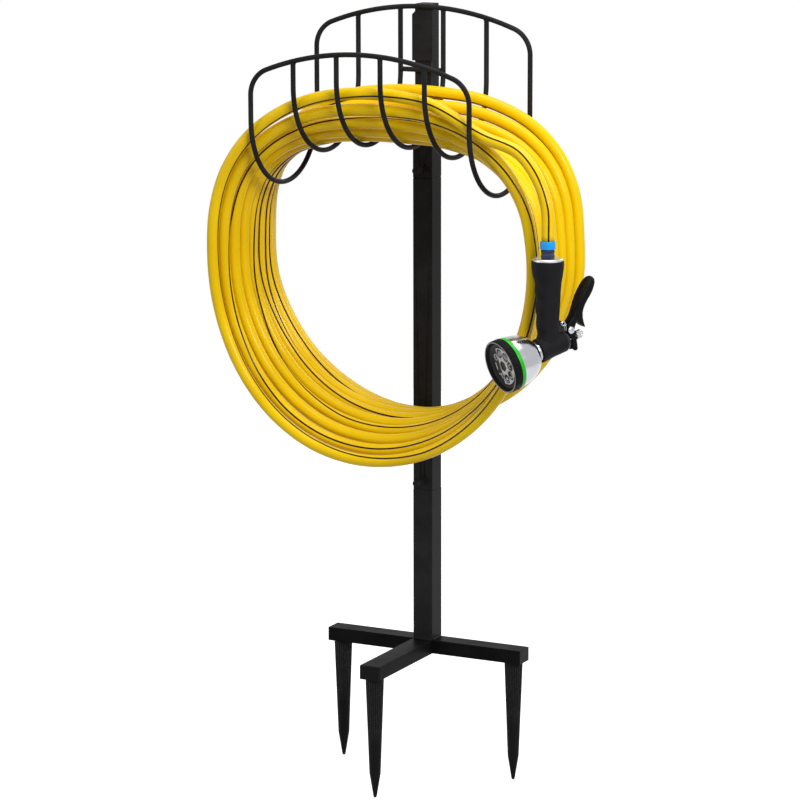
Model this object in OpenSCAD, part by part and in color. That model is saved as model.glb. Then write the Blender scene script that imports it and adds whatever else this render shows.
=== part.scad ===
// Free-standing hose stand with a wire cradle, a coiled hose and a spray nozzle.
// Millimetres, Z up. The underside of the base bars is at Z = 0, the post
// stands on the Z axis and the cradle reaches forward along -Y.

/* [Post] */
// Outer width of the square post
post_w = 30; // [24:1:40]
// Wall of the post tubes
post_wall = 1.5; // [1:0.1:3]
// Height of the lower seam above the ground
lower_seam_z = 240; // [180:5:300]
// Height of the upper seam above the ground
upper_seam_z = 686; // [560:2:760]
// Height of the sleeve above the upper seam
sleeve_h = 69; // [50:1:100]
// Outer width of the neck tube above the sleeve
neck_w = 25; // [18:1:30]
// Top of the neck's cap above the ground
neck_top_z = 929.4; // [880:0.2:980]
// Wall of the neck tube
neck_wall = 1.5; // [1:0.1:3]
// Length that an inner spigot reaches into each tube
spigot_reach = 45; // [30:1:80]

/* [Base] */
// Width of the base bars
base_w = 30; // [24:1:40]
// Height of the base bars
base_h = 20; // [15:1:30]
// Wall of the base bars
base_wall = 1.5; // [1:0.1:3]
// Length of the long bar with its caps
bar_len = 308; // [240:2:400]
// Reach of the front arm from the post axis, with its cap
arm_reach = 182; // [140:1:240]
// Thickness of an end cap's face
cap_t = 2; // [1:0.5:4]
// Depth of an end cap's plug
cap_plug = 6; // [4:1:8]

/* [Spikes] */
// Length of a ground spike below the bar
spike_len = 175; // [120:1:220]
// Width of the spike at its top
spike_top_d = 26; // [20:1:30]
// Width where the long taper ends
spike_mid_d = 16; // [10:1:20]
// Width of the rounded tip
spike_tip_d = 5; // [3:0.5:8]
// Share of the length that the long taper takes
spike_taper_share = 0.79; // [0.6:0.01:0.9]
// Share of the length that the grooves take
spike_groove_share = 0.41; // [0.2:0.01:0.6]
// Number of grooves round a spike
spike_grooves = 12; // [6:1:16]
// Radius of a groove
groove_r = 1.3; // [0.6:0.1:2]
// Distance of a spike's axis from the end of its bar
spike_inset = 17; // [15:1:30]
// Diameter of the spike's threaded stud
stud_d = 8; // [6:1:10]
// Width across the flats of a stud's nut
nut_af = 13; // [10:1:15]
// Height of a stud's nut
nut_h = 6; // [4:0.5:8]

/* [Clamp screws] */
// Diameter of a clamp screw
screw_d = 8; // [5:0.5:10]
// Diameter of its washer
washer_d = 12.5; // [10:0.5:18]
// Thickness of its washer
washer_t = 3; // [1:0.5:5]
// Diameter of the screw's round head
head_d = 9; // [8:0.5:16]
// Distance that the head stands in front of the post
head_reach = 24; // [12:1:35]
// Height of a screw above its seam
screw_rise = 12.7; // [9:0.1:25]

/* [Cradle] */
// Diameter of the wire
wire_d = 7; // [5:0.5:9]
// Width of the cradle between the end wires' centres
rack_w = 332; // [260:1:420]
// Depth of the cradle between the rails' centres
rack_depth = 191; // [150:1:240]
// Number of wires between the two end wires
inner_wires = 4; // [4:1:4]
// Height of the front rail's crown
front_crown_z = 875; // [840:1:910]
// Height of the back rail's crown
back_crown_z = 926; // [900:1:960]
// Radius of a rail's flat arch
rail_r = 400; // [300:5:600]
// Radius of a rail's corners
corner_r = 38; // [20:1:60]
// Lowest point of the two middle wires
mid_wire_z = 742; // [700:1:760]
// Lowest point of the wires next to them
side_wire_z = 731.5; // [690:0.5:750]
// Lowest point of the two end wires
end_wire_z = 683.5; // [650:0.5:730]
// Height of the short cross wire
cross_wire_z = 838; // [800:1:870]
// Width of the front plate on the neck
plate_w = 32; // [25:1:60]
// Height of the front plate
plate_h = 72; // [40:1:100]
// Thickness of the front plate
plate_t = 2.5; // [1.5:0.5:4]
// Corner cut of the front plate
plate_cut = 8; // [2:1:14]

/* [Hose] */
// Outer diameter of the hose
hose_d = 17; // [12:0.5:20]
// Whole turns of the coil
hose_turns = 10; // [6:1:10]
// Half width of a middle turn
loop_half_w = 221; // [200:1:240]
// Drop of a middle turn below its widest level
loop_drop = 235; // [200:1:260]
// Height of the turns' widest level
loop_mid_z = 592; // [560:1:620]
// Step between turns on the cradle
step_top = 20; // [18:0.1:22]
// Step between turns at the sides
step_side = 18.35; // [17.6:0.1:20]
// Step between turns at the bottom
step_low = 20; // [18:0.1:22]
// Free space between the hose and the wires
rest_gap = 0.7; // [0.3:0.1:2]

/* [Nozzle] */
// Where the nozzle's handle hangs, left to right
nozzle_x = 285; // [270:1:300]
// Where the nozzle's handle hangs, front to back
nozzle_y = -214; // [-230:1:-205]
// Turn of the nozzle about its handle
nozzle_turn = 33; // [20:1:45]
// Height where the handle meets the barrel
barrel_z = 500; // [480:1:520]
// Fall of the barrel toward the spray face
barrel_fall = 15.5; // [5:0.5:30]
// Height of the handle from the barrel to its flange
handle_h = 112; // [95:1:125]
// Diameter of the handle's flange
flange_d = 40; // [34:1:46]
// Thickness of the flange
flange_t = 7.5; // [4:0.5:10]
// Diameter of the ribbed hose nut
hose_nut_d = 18.5; // [16:0.5:30]
// Height of the ribbed hose nut
hose_nut_h = 12; // [8:0.5:20]
// Diameter of the ferrule ring
ferrule_d = 21; // [18:0.5:30]
// Height of the ferrule ring
ferrule_h = 10.7; // [8:0.1:20]
// Diameter of the water way
bore_d = 12; // [8:0.5:14]
// Diameter of the metal core of handle and barrel
core_d = 24; // [20:1:26]
// Diameter of the spray head's bezel
bezel_d = 72.8; // [60:0.2:80]
// Length of the bezel
bezel_l = 12; // [8:0.5:16]
// Distance of the spray face from the handle
face_reach = 76; // [65:1:90]
// Notches round the bezel
bezel_notches = 18; // [8:1:30]
// Width of the trigger
trigger_w = 20; // [14:1:24]
// Diameter of the trigger's pivot pin
pin_d = 5; // [3:0.5:6]
// Diameter of the valve stem
stem_d = 5; // [3:0.5:6]
// Diameter of the flow adjuster
adjuster_d = 11; // [9:0.5:16]

/* [Fits] */
// Gap between pieces that move against each other
move_gap = 0.3; // [0.2:0.05:0.6]
// Gap between pieces that are pushed together
seat_gap = 0.15; // [0.05:0.05:0.3]
// Gap at a welded wire's saddle
weld_gap = 0.05; // [0.02:0.01:0.1]
// How far a wire's end stops below its rail's middle line
saddle_drop = 1; // [0.8:0.1:2]

/* [Hidden] */
$fn = 48;
e = 0.01;
black = [0.07, 0.07, 0.08];
plastic = [0.09, 0.09, 0.10];
chrome = [0.80, 0.81, 0.83];
yellow = [0.95, 0.76, 0.03];
blue = [0.05, 0.52, 0.85];
navy = [0.07, 0.10, 0.28];
green = [0.18, 0.80, 0.12];
brass = [0.78, 0.62, 0.30];

bar_half = bar_len / 2;
base_in_w = base_w - 2 * base_wall;
base_in_h = base_h - 2 * base_wall;
spike_x = bar_half - spike_inset;
spike_y = arm_reach - spike_inset;

post_in = post_w - 2 * post_wall;
spigot_w = post_in - 2 * seat_gap;
sleeve_top_z = upper_seam_z + sleeve_h;
neck_in = neck_w - 2 * neck_wall;
neck_foot_z = sleeve_top_z - 13;
neck_tube_top_z = neck_top_z - cap_t;
collar_t = 2;

wire_r = wire_d / 2;
back_y = -neck_w / 2 - wire_r;
front_y = back_y - rack_depth;
mid_y = back_y - rack_depth / 2;
bend_r = rack_depth / 2;
wire_step = rack_w / (inner_wires + 1);
corner_x = rack_w / 2 - corner_r;
corner_drop = rail_r - sqrt(pow(rail_r - corner_r, 2) - pow(corner_x, 2));
arch_angle = asin(corner_x / (rail_r - corner_r));
bend_swell = 0.03;
plate_top_z = back_crown_z - wire_r - 0.3;

hose_r = hose_d / 2;
cradle_r = bend_r - wire_r - hose_r - rest_gap;
loop_x = 6.5;
loop_top_z = mid_wire_z + bend_r - cradle_r;
loop_rise = loop_top_z - loop_mid_z;
top_power = 2.88;
front_top_power = 2.37;
low_power = 2.03;
back_flat = 0.155;
front_full = 0.075;
side_bow_r = 163;
low_bow_r = 162;
low_lean = 13.3;
side_lean = 2;
front_turns = 4.9;
top_drift = -0.5;
side_drift = -0.55;
low_drift = 1.55;
front_lift = 15;
rings = 24;
sides = 6;

ferrule_z = barrel_z + handle_h + flange_t + hose_nut_h + ferrule_h;
core_r = core_d / 2;
bezel_r = bezel_d / 2;
pivot_h = 32.5;
pivot_z = barrel_z + 21.5;

// tap end of the hose
tap_x = -265;
tap_y = -35;
tap_z = 572;
tap_ferrule_h = 24;
tap_nut_h = 18;
tap_lip_h = 2;
tap_nut_d = 32;
tap_thread_d = 26.4;
tap_neck_d = 20;

// shared shapes

module tube_square(outer, inner, z0, z1) {
    difference() {
        translate([-outer / 2, -outer / 2, z0]) cube([outer, outer, z1 - z0]);
        translate([-inner / 2, -inner / 2, z0 - 1]) cube([inner, inner, z1 - z0 + 2]);
    }
}

module forward_bore(d, z) {
    translate([0, 0, z]) rotate([90, 0, 0]) cylinder(d = d, h = post_w);
}

module wire_arc(r, a0, a1, wr) {
    rotate([0, 0, a0]) rotate_extrude(angle = a1 - a0) translate([r, 0]) circle(wr);
}

// base

module base_tube(length) {
    difference() {
        translate([0, -base_w / 2, 0]) cube([length, base_w, base_h]);
        translate([-1, -base_in_w / 2, base_wall]) cube([length + 2, base_in_w, base_in_h]);
    }
}

module base_cross_bar() {
    tube_len = bar_len - 2 * cap_t;
    color(black) difference() {
        translate([-tube_len / 2, 0, 0]) base_tube(tube_len);
        for (s = [-1, 1])
            translate([s * spike_x, 0, -1]) cylinder(d = stud_d + 2 * seat_gap, h = base_wall + 2);
    }
}

module base_front_arm() {
    tube_len = arm_reach - cap_t - base_w / 2;
    color(black) difference() {
        translate([0, -base_w / 2, 0]) rotate([0, 0, -90]) base_tube(tube_len);
        translate([0, -spike_y, -1]) cylinder(d = stud_d + 2 * seat_gap, h = base_wall + 2);
    }
}

module bar_cap() {
    plug_w = base_in_w - 2 * seat_gap;
    plug_h = base_in_h - 2 * seat_gap;
    plug_z = base_wall + seat_gap;
    color(plastic) difference() {
        union() {
            translate([-cap_t, -base_w / 2, 0]) cube([cap_t, base_w, base_h]);
            translate([-cap_t - cap_plug, -plug_w / 2, plug_z]) cube([cap_plug + e, plug_w, plug_h]);
        }
        translate([-cap_t - cap_plug - 1, -plug_w / 2 + 2, plug_z + 2])
            cube([cap_plug + 1, plug_w - 4, plug_h - 4]);
    }
}

module bar_cap_right() { translate([bar_half, 0, 0]) bar_cap(); }
module bar_cap_left() { translate([-bar_half, 0, 0]) rotate([0, 0, 180]) bar_cap(); }
module arm_cap_front() { translate([0, -arm_reach, 0]) rotate([0, 0, -90]) bar_cap(); }

module spike() {
    taper_len = spike_len * spike_taper_share;
    groove_len = spike_len * spike_groove_share;
    top_r = spike_top_d / 2;
    mid_r = spike_mid_d / 2;
    tip_r = spike_tip_d / 2;
    lean = atan((top_r - mid_r) / taper_len);
    color(plastic) {
        difference() {
            rotate_extrude()
                polygon([[0, 0], [top_r, 0], [top_r, -3], [mid_r, -taper_len],
                    [tip_r, -spike_len + tip_r], [tip_r * 0.7, -spike_len + tip_r * 0.3],
                    [0, -spike_len]]);
            for (i = [0:spike_grooves - 1])
                rotate([0, 0, i * 360 / spike_grooves]) translate([top_r, 0, -5])
                    rotate([0, lean, 0]) translate([0.5, 0, -groove_len])
                        cylinder(r = groove_r, h = groove_len);
        }
        cylinder(d = stud_d, h = base_wall + nut_h + 2);
    }
}

module spike_left() { translate([-spike_x, 0, 0]) spike(); }
module spike_right() { translate([spike_x, 0, 0]) spike(); }
module spike_front() { translate([0, -spike_y, 0]) spike(); }

module spike_nut() {
    color(chrome) translate([0, 0, base_wall]) difference() {
        cylinder(d = nut_af / cos(30), h = nut_h, $fn = 6);
        translate([0, 0, -1]) cylinder(d = stud_d + 2 * weld_gap, h = nut_h + 2);
    }
}

module spike_nut_left() { translate([-spike_x, 0, 0]) spike_nut(); }
module spike_nut_right() { translate([spike_x, 0, 0]) spike_nut(); }
module spike_nut_front() { translate([0, -spike_y, 0]) spike_nut(); }

// post

module post_stub() {
    color(black) tube_square(post_w, post_in, base_h, lower_seam_z);
}

module post_main() {
    color(black) difference() {
        tube_square(post_w, post_in, lower_seam_z, upper_seam_z);
        forward_bore(screw_d + 2 * move_gap, lower_seam_z + screw_rise);
    }
}

module post_sleeve() {
    color(black) difference() {
        tube_square(post_w, post_in, upper_seam_z, sleeve_top_z);
        forward_bore(screw_d + 2 * move_gap, upper_seam_z + screw_rise);
    }
}

module spigot(seam_z) {
    color(black) difference() {
        tube_square(spigot_w, spigot_w - 2 * post_wall, seam_z - spigot_reach, seam_z + spigot_reach);
        forward_bore(screw_d + 2 * move_gap, seam_z + screw_rise);
    }
}

module spigot_lower() { spigot(lower_seam_z); }
module spigot_upper() { spigot(upper_seam_z); }

module neck_collar() {
    color(black) {
        tube_square(post_w, neck_w + 2 * weld_gap, sleeve_top_z, sleeve_top_z + collar_t);
        tube_square(spigot_w, neck_w + 2 * weld_gap, neck_foot_z, sleeve_top_z + e);
    }
}

module neck_tube() {
    color(black) tube_square(neck_w, neck_in, neck_foot_z, neck_tube_top_z);
}

module neck_cap() {
    plug_w = neck_in - 2 * seat_gap;
    color(plastic) {
        translate([-neck_w / 2, -neck_w / 2, neck_tube_top_z]) cube([neck_w, neck_w, cap_t]);
        tube_square(plug_w, plug_w - 4, neck_tube_top_z - cap_plug, neck_tube_top_z + e);
    }
}

module neck_plate() {
    half = plate_w / 2;
    color(black) translate([0, -neck_w / 2, plate_top_z - plate_h]) rotate([90, 0, 0])
        linear_extrude(plate_t)
            polygon([[-half, 0], [half, 0], [half, plate_h], [-half + plate_cut, plate_h],
                [-half, plate_h - plate_cut]]);
}

module clamp_washer(z) {
    color(black) translate([0, -post_w / 2, z]) rotate([90, 0, 0]) difference() {
        cylinder(d = washer_d, h = washer_t);
        translate([0, 0, -1]) cylinder(d = screw_d + 2 * move_gap, h = washer_t + 2);
    }
}

module lower_washer() { clamp_washer(lower_seam_z + screw_rise); }
module upper_washer() { clamp_washer(upper_seam_z + screw_rise); }

module clamp_screw(z) {
    shaft_start = post_w / 2 - 2 * post_wall - 4;
    head_start = post_w / 2 + washer_t + move_gap;
    head_end = post_w / 2 + head_reach;
    edge = 1;
    color(black) translate([0, 0, z]) rotate([90, 0, 0]) {
        translate([0, 0, shaft_start]) cylinder(d = screw_d, h = head_start - shaft_start + e);
        translate([0, 0, head_start]) cylinder(d = head_d, h = head_end - head_start - edge);
        translate([0, 0, head_end - edge]) cylinder(d1 = head_d, d2 = head_d - 2 * edge, h = edge);
    }
}

module lower_clamp_screw() { clamp_screw(lower_seam_z + screw_rise); }
module upper_clamp_screw() { clamp_screw(upper_seam_z + screw_rise); }

// cradle

function rail_z(crown, x) = crown - rail_r + sqrt(rail_r * rail_r - x * x);

module rail(crown, y, wr) {
    translate([0, y, crown - rail_r]) rotate([90, 0, 0]) {
        wire_arc(rail_r, 90 - arch_angle, 90 + arch_angle, wr);
        for (a = [90 - arch_angle, 90 + arch_angle])
            rotate([0, 0, a]) translate([rail_r, 0, 0]) sphere(r = wr + bend_swell);
    }
    translate([corner_x, y, crown - corner_drop]) rotate([90, 0, 0])
        wire_arc(corner_r, 0, 90 - arch_angle, wr);
    translate([-corner_x, y, crown - corner_drop]) rotate([90, 0, 0])
        wire_arc(corner_r, 90 + arch_angle, 180, wr);
}

module front_rail() { color(black) rail(front_crown_z, front_y, wire_r); }
module back_rail() { color(black) rail(back_crown_z, back_y, wire_r); }

module u_wire(x, low_z, front_top, back_top) {
    bend_z = low_z + bend_r;
    translate([x, mid_y, bend_z]) rotate([90, 0, 90]) wire_arc(bend_r, 180, 360, wire_r);
    translate([x, front_y, bend_z]) cylinder(r = wire_r, h = front_top - bend_z);
    translate([x, back_y, bend_z]) cylinder(r = wire_r, h = back_top - bend_z);
}

module end_wire(s) {
    color(black) u_wire(s * rack_w / 2, end_wire_z, front_crown_z - corner_drop,
        back_crown_z - corner_drop);
}

module end_wire_left() { end_wire(-1); }
module end_wire_right() { end_wire(1); }

module inner_wire(i) {
    x = (i - (inner_wires - 1) / 2) * wire_step;
    low_z = (i == 0 || i == inner_wires - 1) ? side_wire_z : mid_wire_z;
    color(black) difference() {
        u_wire(x, low_z, rail_z(front_crown_z, x) - saddle_drop, rail_z(back_crown_z, x) - saddle_drop);
        rail(front_crown_z, front_y, wire_r + weld_gap);
        rail(back_crown_z, back_y, wire_r + weld_gap);
    }
}

module cradle_wire_1() { inner_wire(0); }
module cradle_wire_2() { inner_wire(1); }
module cradle_wire_3() { inner_wire(2); }
module cradle_wire_4() { inner_wire(3); }

module cross_wire() {
    reach = wire_step / 2;
    color(black) difference() {
        translate([-reach, back_y, cross_wire_z]) rotate([0, 90, 0])
            cylinder(r = wire_r, h = 2 * reach);
        for (s = [-1, 1])
            translate([s * reach, back_y, cross_wire_z - 2 * wire_d])
                cylinder(r = wire_r + weld_gap, h = 4 * wire_d);
    }
}

// hose: a turn is a rounded outline in XZ, and the turns lie side by side on an
// arc across it, which hugs the cradle on top and opens out lower down

function sgn(v) = v < 0 ? -1 : 1;
function smooth(v) = v * v * (3 - 2 * v);
function clip(v, lo, hi) = min(max(v, lo), hi);

// station angles of one turn: one over each cradle wire, the others evenly between
function over_wire(i, turn) = let (
    middle_x = loop_x + top_drift * (turn - front_turns),
    r = (((inner_wires + 1) / 2 - i) * wire_step - middle_x) / loop_half_w)
    acos(sgn(r) * pow(abs(r), top_power / 2));
top_rings = inner_wires + 2;
function station(i, turn) = i < top_rings ? over_wire(i, turn)
    : let (first_a = over_wire(0, turn), last_a = over_wire(top_rings - 1, turn))
    last_a + (360 + first_a - last_a) * (i - top_rings + 1) / (rings - top_rings + 1);

function blend(a, top, side, low) = let (s = sin(a), c = cos(a))
    (s > 0 ? s * s * top : s * s * low) + c * c * side;

function coil_point(a, turn) = let (
    c = cos(a),
    s = sin(a),
    k = turn + a / 360 - 0.25 - front_turns,
    forward = clip(-k / front_turns, 0, 1),
    backward = clip(k / front_turns, 0, 1),
    right = smooth(0.5 + 0.5 * clip(c * 2.5, -1, 1)),
    n_low = low_power + right * (front_full * forward - back_flat * backward),
    n_top = top_power - (top_power - front_top_power) * forward,
    n = n_low + (n_top - n_low) * smooth(0.5 + 0.5 * clip(s * 2.5, -1, 1)),
    b = s > 0 ? loop_rise : loop_drop,
    x = loop_x + loop_half_w * sgn(c) * pow(abs(c), 2 / n),
    z = loop_mid_z + b * sgn(s) * pow(abs(s), 2 / n),
    nx = sgn(c) * pow(abs(c), 2 - 2 / n) / loop_half_w,
    nz = sgn(s) * pow(abs(s), 2 - 2 / n) / b,
    nl = norm([nx, nz]),
    bow = 1 / blend(a, 1 / cradle_r, 1 / side_bow_r, 1 / low_bow_r),
    phi = blend(a, step_top, step_side, step_low) * k / bow * 180 / PI,
    lean = blend(a, 0, side_lean, low_lean),
    across = bow * sin(phi),
    out = bow * (1 - cos(phi)) * cos(lean) - across * sin(lean)
        + front_lift * blend(a, 1, 0, 0) * pow(forward, 2))
    [x + nx / nl * out + blend(a, top_drift, side_drift, low_drift) * k, mid_y + across * cos(lean), z + nz / nl * out];

// the free ends, chosen by hand
start_run = [[nozzle_x, nozzle_y, ferrule_z], [nozzle_x, nozzle_y, ferrule_z + hose_d],
    [284, -213, 680], [277, -211, 704], [262, -207, 730], [240, -202, 752]];
end_run = [[-106, -33.5, 800], [-140, -32, 789], [-166, -30, 776], [-190, -28, 759],
    [-214, -29, 736], [-238, -30, 704], [-256, -32, 664], [-264, -34, 626],
    [tap_x, tap_y, tap_z + hose_d], [tap_x, tap_y, tap_z]];
coil_run = [for (t = [0:hose_turns], i = [0:rings - 1])
    if (t < hose_turns || i < top_rings - 2) coil_point(station(i, t), t)];
hose_path = concat(start_run, coil_run, end_run);
path_n = len(hose_path);

function unit(v) = v / norm(v);
function heading(i) = i == 0 ? unit(hose_path[1] - hose_path[0])
    : i == path_n - 1 ? unit(hose_path[i] - hose_path[i - 1])
    : unit(unit(hose_path[i + 1] - hose_path[i]) + unit(hose_path[i] - hose_path[i - 1]));
function ring(i) = let (t = heading(i), u = unit(cross([0, 1, 0], t)), v = cross(t, u))
    [for (j = [0:sides - 1]) hose_path[i] + hose_r * (cos(j * 360 / sides) * u
        + sin(j * 360 / sides) * v)];
hose_points = [for (i = [0:path_n - 1], p = ring(i)) p];
hose_faces = concat(
    [for (j = [1:sides - 2]) [0, j, j + 1]],
    [for (i = [0:path_n - 2], j = [0:sides - 1], f = [0, 1]) let (
        a = i * sides + j,
        b = i * sides + (j + 1) % sides)
        f == 0 ? [a, a + sides, b] : [b, a + sides, b + sides]],
    [for (j = [1:sides - 2]) let (m = (path_n - 1) * sides) [m, m + j + 1, m + j]]);

module hose_coil() {
    color(yellow) polyhedron(points = hose_points, faces = hose_faces, convexity = 20);
}

function to_run(p, a, b) = let (d = b - a, f = clip(((p - a) * d) / (d * d), 0, 1)) norm(p - a - f * d);
coil_gap = min([for (i = [0:path_n - 1], j = [i + 12:i + rings + 12])
    if (j < path_n - 1) to_run(hose_path[i], hose_path[j], hose_path[j + 1])]) - hose_d;
hose_length = sum_runs(0, 0);
function sum_runs(i, s) = i >= path_n - 1 ? s : sum_runs(i + 1, s + norm(hose_path[i + 1] - hose_path[i]));
echo(coil_gap = coil_gap, hose_length = hose_length);

module tap_ferrule() {
    color(brass) translate([tap_x, tap_y, tap_z]) rotate([180, 0, 0]) difference() {
        union() {
            cylinder(d = ferrule_d, h = tap_ferrule_h - 6);
            cylinder(d = tap_neck_d, h = tap_ferrule_h);
            translate([0, 0, tap_ferrule_h]) cylinder(d = tap_neck_d + 4, h = tap_lip_h);
        }
        translate([0, 0, 4]) cylinder(d = bore_d, h = tap_ferrule_h + 2);
    }
}

module tap_nut() {
    wall_top = tap_ferrule_h - move_gap;
    lip_room = tap_lip_h + 2 * move_gap;
    color(brass) translate([tap_x, tap_y, tap_z]) rotate([180, 0, 0]) difference() {
        translate([0, 0, wall_top - 3]) cylinder(d = tap_nut_d, h = tap_nut_h);
        translate([0, 0, wall_top - 4]) cylinder(d = tap_neck_d + 2 * move_gap, h = tap_nut_h);
        translate([0, 0, wall_top]) cylinder(d = tap_thread_d + 1, h = lip_room);
        translate([0, 0, wall_top + lip_room - e]) cylinder(d = tap_thread_d, h = tap_nut_h);
        for (i = [0:17])
            rotate([0, 0, i * 20]) translate([tap_nut_d / 2 + 0.4, 0, wall_top - 4])
                cylinder(r = 1.2, h = tap_nut_h + 2);
    }
}

// nozzle: its handle is upright, and its barrel falls toward -Y before it is turned

module nozzle_place() { translate([nozzle_x, nozzle_y, 0]) rotate([0, 0, -nozzle_turn]) children(); }
module barrel_place() { translate([0, 0, barrel_z]) rotate([90 + barrel_fall, 0, 0]) children(); }

flange_z = barrel_z + handle_h;
nut_z = flange_z + flange_t;

module hose_ferrule() {
    edge = 0.8;
    color(blue) translate([nozzle_x, nozzle_y, nut_z + hose_nut_h]) {
        translate([0, 0, edge]) cylinder(d = ferrule_d, h = ferrule_h - 2 * edge);
        cylinder(d1 = ferrule_d - 2 * edge, d2 = ferrule_d, h = edge);
        translate([0, 0, ferrule_h - edge])
            cylinder(d1 = ferrule_d, d2 = ferrule_d - 2 * edge, h = edge);
    }
}

module hose_nut() {
    color(navy) nozzle_place() translate([0, 0, nut_z + move_gap]) difference() {
        cylinder(d = hose_nut_d, h = hose_nut_h - 2 * move_gap);
        for (i = [0:15])
            rotate([0, 0, i * 22.5]) translate([hose_nut_d / 2 + 0.3, 0, -1])
                cylinder(r = 0.9, h = hose_nut_h);
    }
}

lug_t = 8;
gland_start = 30;
gland_h = 4;
gland_af = 10;
boss_d = 11;

module nozzle_core() {
    color(chrome) nozzle_place() difference() {
        union() {
            translate([0, 0, flange_z]) cylinder(d = flange_d, h = flange_t - 1);
            translate([0, 0, nut_z - 1]) cylinder(d1 = flange_d, d2 = flange_d - 2, h = 1);
            translate([0, 0, barrel_z]) cylinder(r = core_r - 1, h = handle_h + e);
            barrel_place() translate([0, 0, -gland_start]) cylinder(r = core_r, h = gland_start + 20);
            translate([-lug_t / 2, 0, 0]) rotate([90, 0, 90]) linear_extrude(lug_t) {
                translate([pivot_h, pivot_z]) circle(d = boss_d);
                polygon([[8, barrel_z + 10], [24, barrel_z + 15.5], [pivot_h, pivot_z - boss_d / 2],
                    [pivot_h + 1, pivot_z + boss_d / 2], [8, barrel_z + 40]]);
            }
        }
        translate([0, 0, barrel_z]) cylinder(d = bore_d, h = handle_h + flange_t + 1);
        barrel_place() translate([0, 0, -gland_start + 4]) cylinder(d = bore_d, h = gland_start + 20);
        barrel_place() translate([0, 0, -gland_start - 1]) cylinder(d = stem_d + 2 * move_gap, h = 10);
        translate([-lug_t, pivot_h, pivot_z]) rotate([0, 90, 0])
            cylinder(d = pin_d + 2 * weld_gap, h = 2 * lug_t);
    }
}

// one slice of the grip: height above the barrel, half depth, half width
module grip_slice(z, a, b) {
    translate([0, 0, barrel_z + z]) scale([b / a, 1, 1]) cylinder(r = a, h = 1, $fn = 32);
}

module grip_run(p, q) {
    hull() {
        grip_slice(p[0], p[1], p[2]);
        grip_slice(q[0], q[1], q[2]);
    }
}

module nozzle_grip() {
    facet = cos(180 / 32);
    top = handle_h - 1 - weld_gap;
    slices = [[0, 15, 13.5], [28, 15, 13.5], [50, 17, 14.5], [82, 18, 15.5], [98, 20, 19.5],
        [top, 20, 19.8]];
    color(plastic) nozzle_place() difference() {
        union() {
            for (i = [0:4])
                grip_run(slices[i], slices[i + 1]);
            barrel_place() translate([0, 0, -gland_start + 4]) cylinder(r = core_r + 2.5, h = 42, $fn = 32);
        }
        translate([0, 0, barrel_z - 30])
            cylinder(r = (core_r - 1 + weld_gap) / facet, h = handle_h + 40, $fn = 32);
        barrel_place() translate([0, 0, -40]) cylinder(r = (core_r + weld_gap) / facet, h = 80, $fn = 32);
        translate([-lug_t / 2 - seat_gap, 8, barrel_z - 20]) cube([lug_t + 2 * seat_gap, 40, 70]);
        for (z = [44, 64, 86])
            translate([-30, -17 - 13.5 - z / 60, barrel_z + z]) rotate([0, 90, 0])
                cylinder(r = 14.5, h = 60, $fn = 32);
    }
}

module gland_nut() {
    color(chrome) nozzle_place() barrel_place() difference() {
        translate([0, 0, -gland_start - gland_h]) cylinder(d = gland_af / cos(30), h = gland_h, $fn = 6);
        translate([0, 0, -gland_start - gland_h - 1]) cylinder(d = stem_d + 2 * move_gap, h = gland_h + 2);
    }
}

bell_start = 20;
bell_end = face_reach - bezel_l - 3.5;
ring_t = 3.2;
spindle_r = 3;
spindle_l = 7;

module neck_ring() {
    color(chrome) nozzle_place() barrel_place() translate([0, 0, bell_start - 4]) difference() {
        cylinder(r = core_r + 2, h = 4);
        translate([0, 0, -1]) cylinder(r = core_r + weld_gap, h = 6);
    }
}

// radius of the bell's outside at a share u of its length, from neck to rim
function bell_r(u, r0, r1) = r0 + (r1 - r0) * pow(sin(u * 90), 0.85);
bell_steps = 9;

module spray_bell() {
    rim_r = bezel_r - 3;
    len = bell_end - bell_start;
    wall = 2;
    outside = [for (i = [0:bell_steps]) let (u = i / bell_steps) [bell_r(u, core_r, rim_r), u * len]];
    inside = [for (i = [bell_steps:-1:0]) let (u = i / bell_steps)
        [bell_r(u, core_r, rim_r) - wall * 1.5, wall * 2 + u * (len - wall * 4)]];
    color(chrome) nozzle_place() barrel_place() translate([0, 0, bell_start]) {
        rotate_extrude() polygon(concat([[0, 0]], outside, [[0, len]], [[0, len - wall * 2]], inside,
            [[0, wall * 2]]));
        translate([0, 0, len - e]) cylinder(r = spindle_r, h = spindle_l + e);
    }
}

module green_ring() {
    color(green) nozzle_place() barrel_place() translate([0, 0, bell_end]) difference() {
        cylinder(r = bezel_r - 2, h = ring_t);
        translate([0, 0, -1]) cylinder(r = bezel_r - 7, h = ring_t + 2);
    }
}

bezel_z = bell_end + ring_t + move_gap;
bezel_inner_r = bezel_r - 5.5;

module spray_bezel() {
    color(plastic) nozzle_place() barrel_place() translate([0, 0, bezel_z]) difference() {
        union() {
            cylinder(r = bezel_r, h = bezel_l - 2);
            translate([0, 0, bezel_l - 2]) cylinder(r1 = bezel_r, r2 = bezel_r - 2, h = 2);
        }
        translate([0, 0, -1]) cylinder(r = bezel_inner_r, h = bezel_l + 2);
        for (i = [0:bezel_notches - 1])
            rotate([0, 0, i * 360 / bezel_notches]) translate([bezel_r + 1, 0, -1])
                cylinder(r = 2, h = bezel_l + 2);
    }
}

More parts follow.
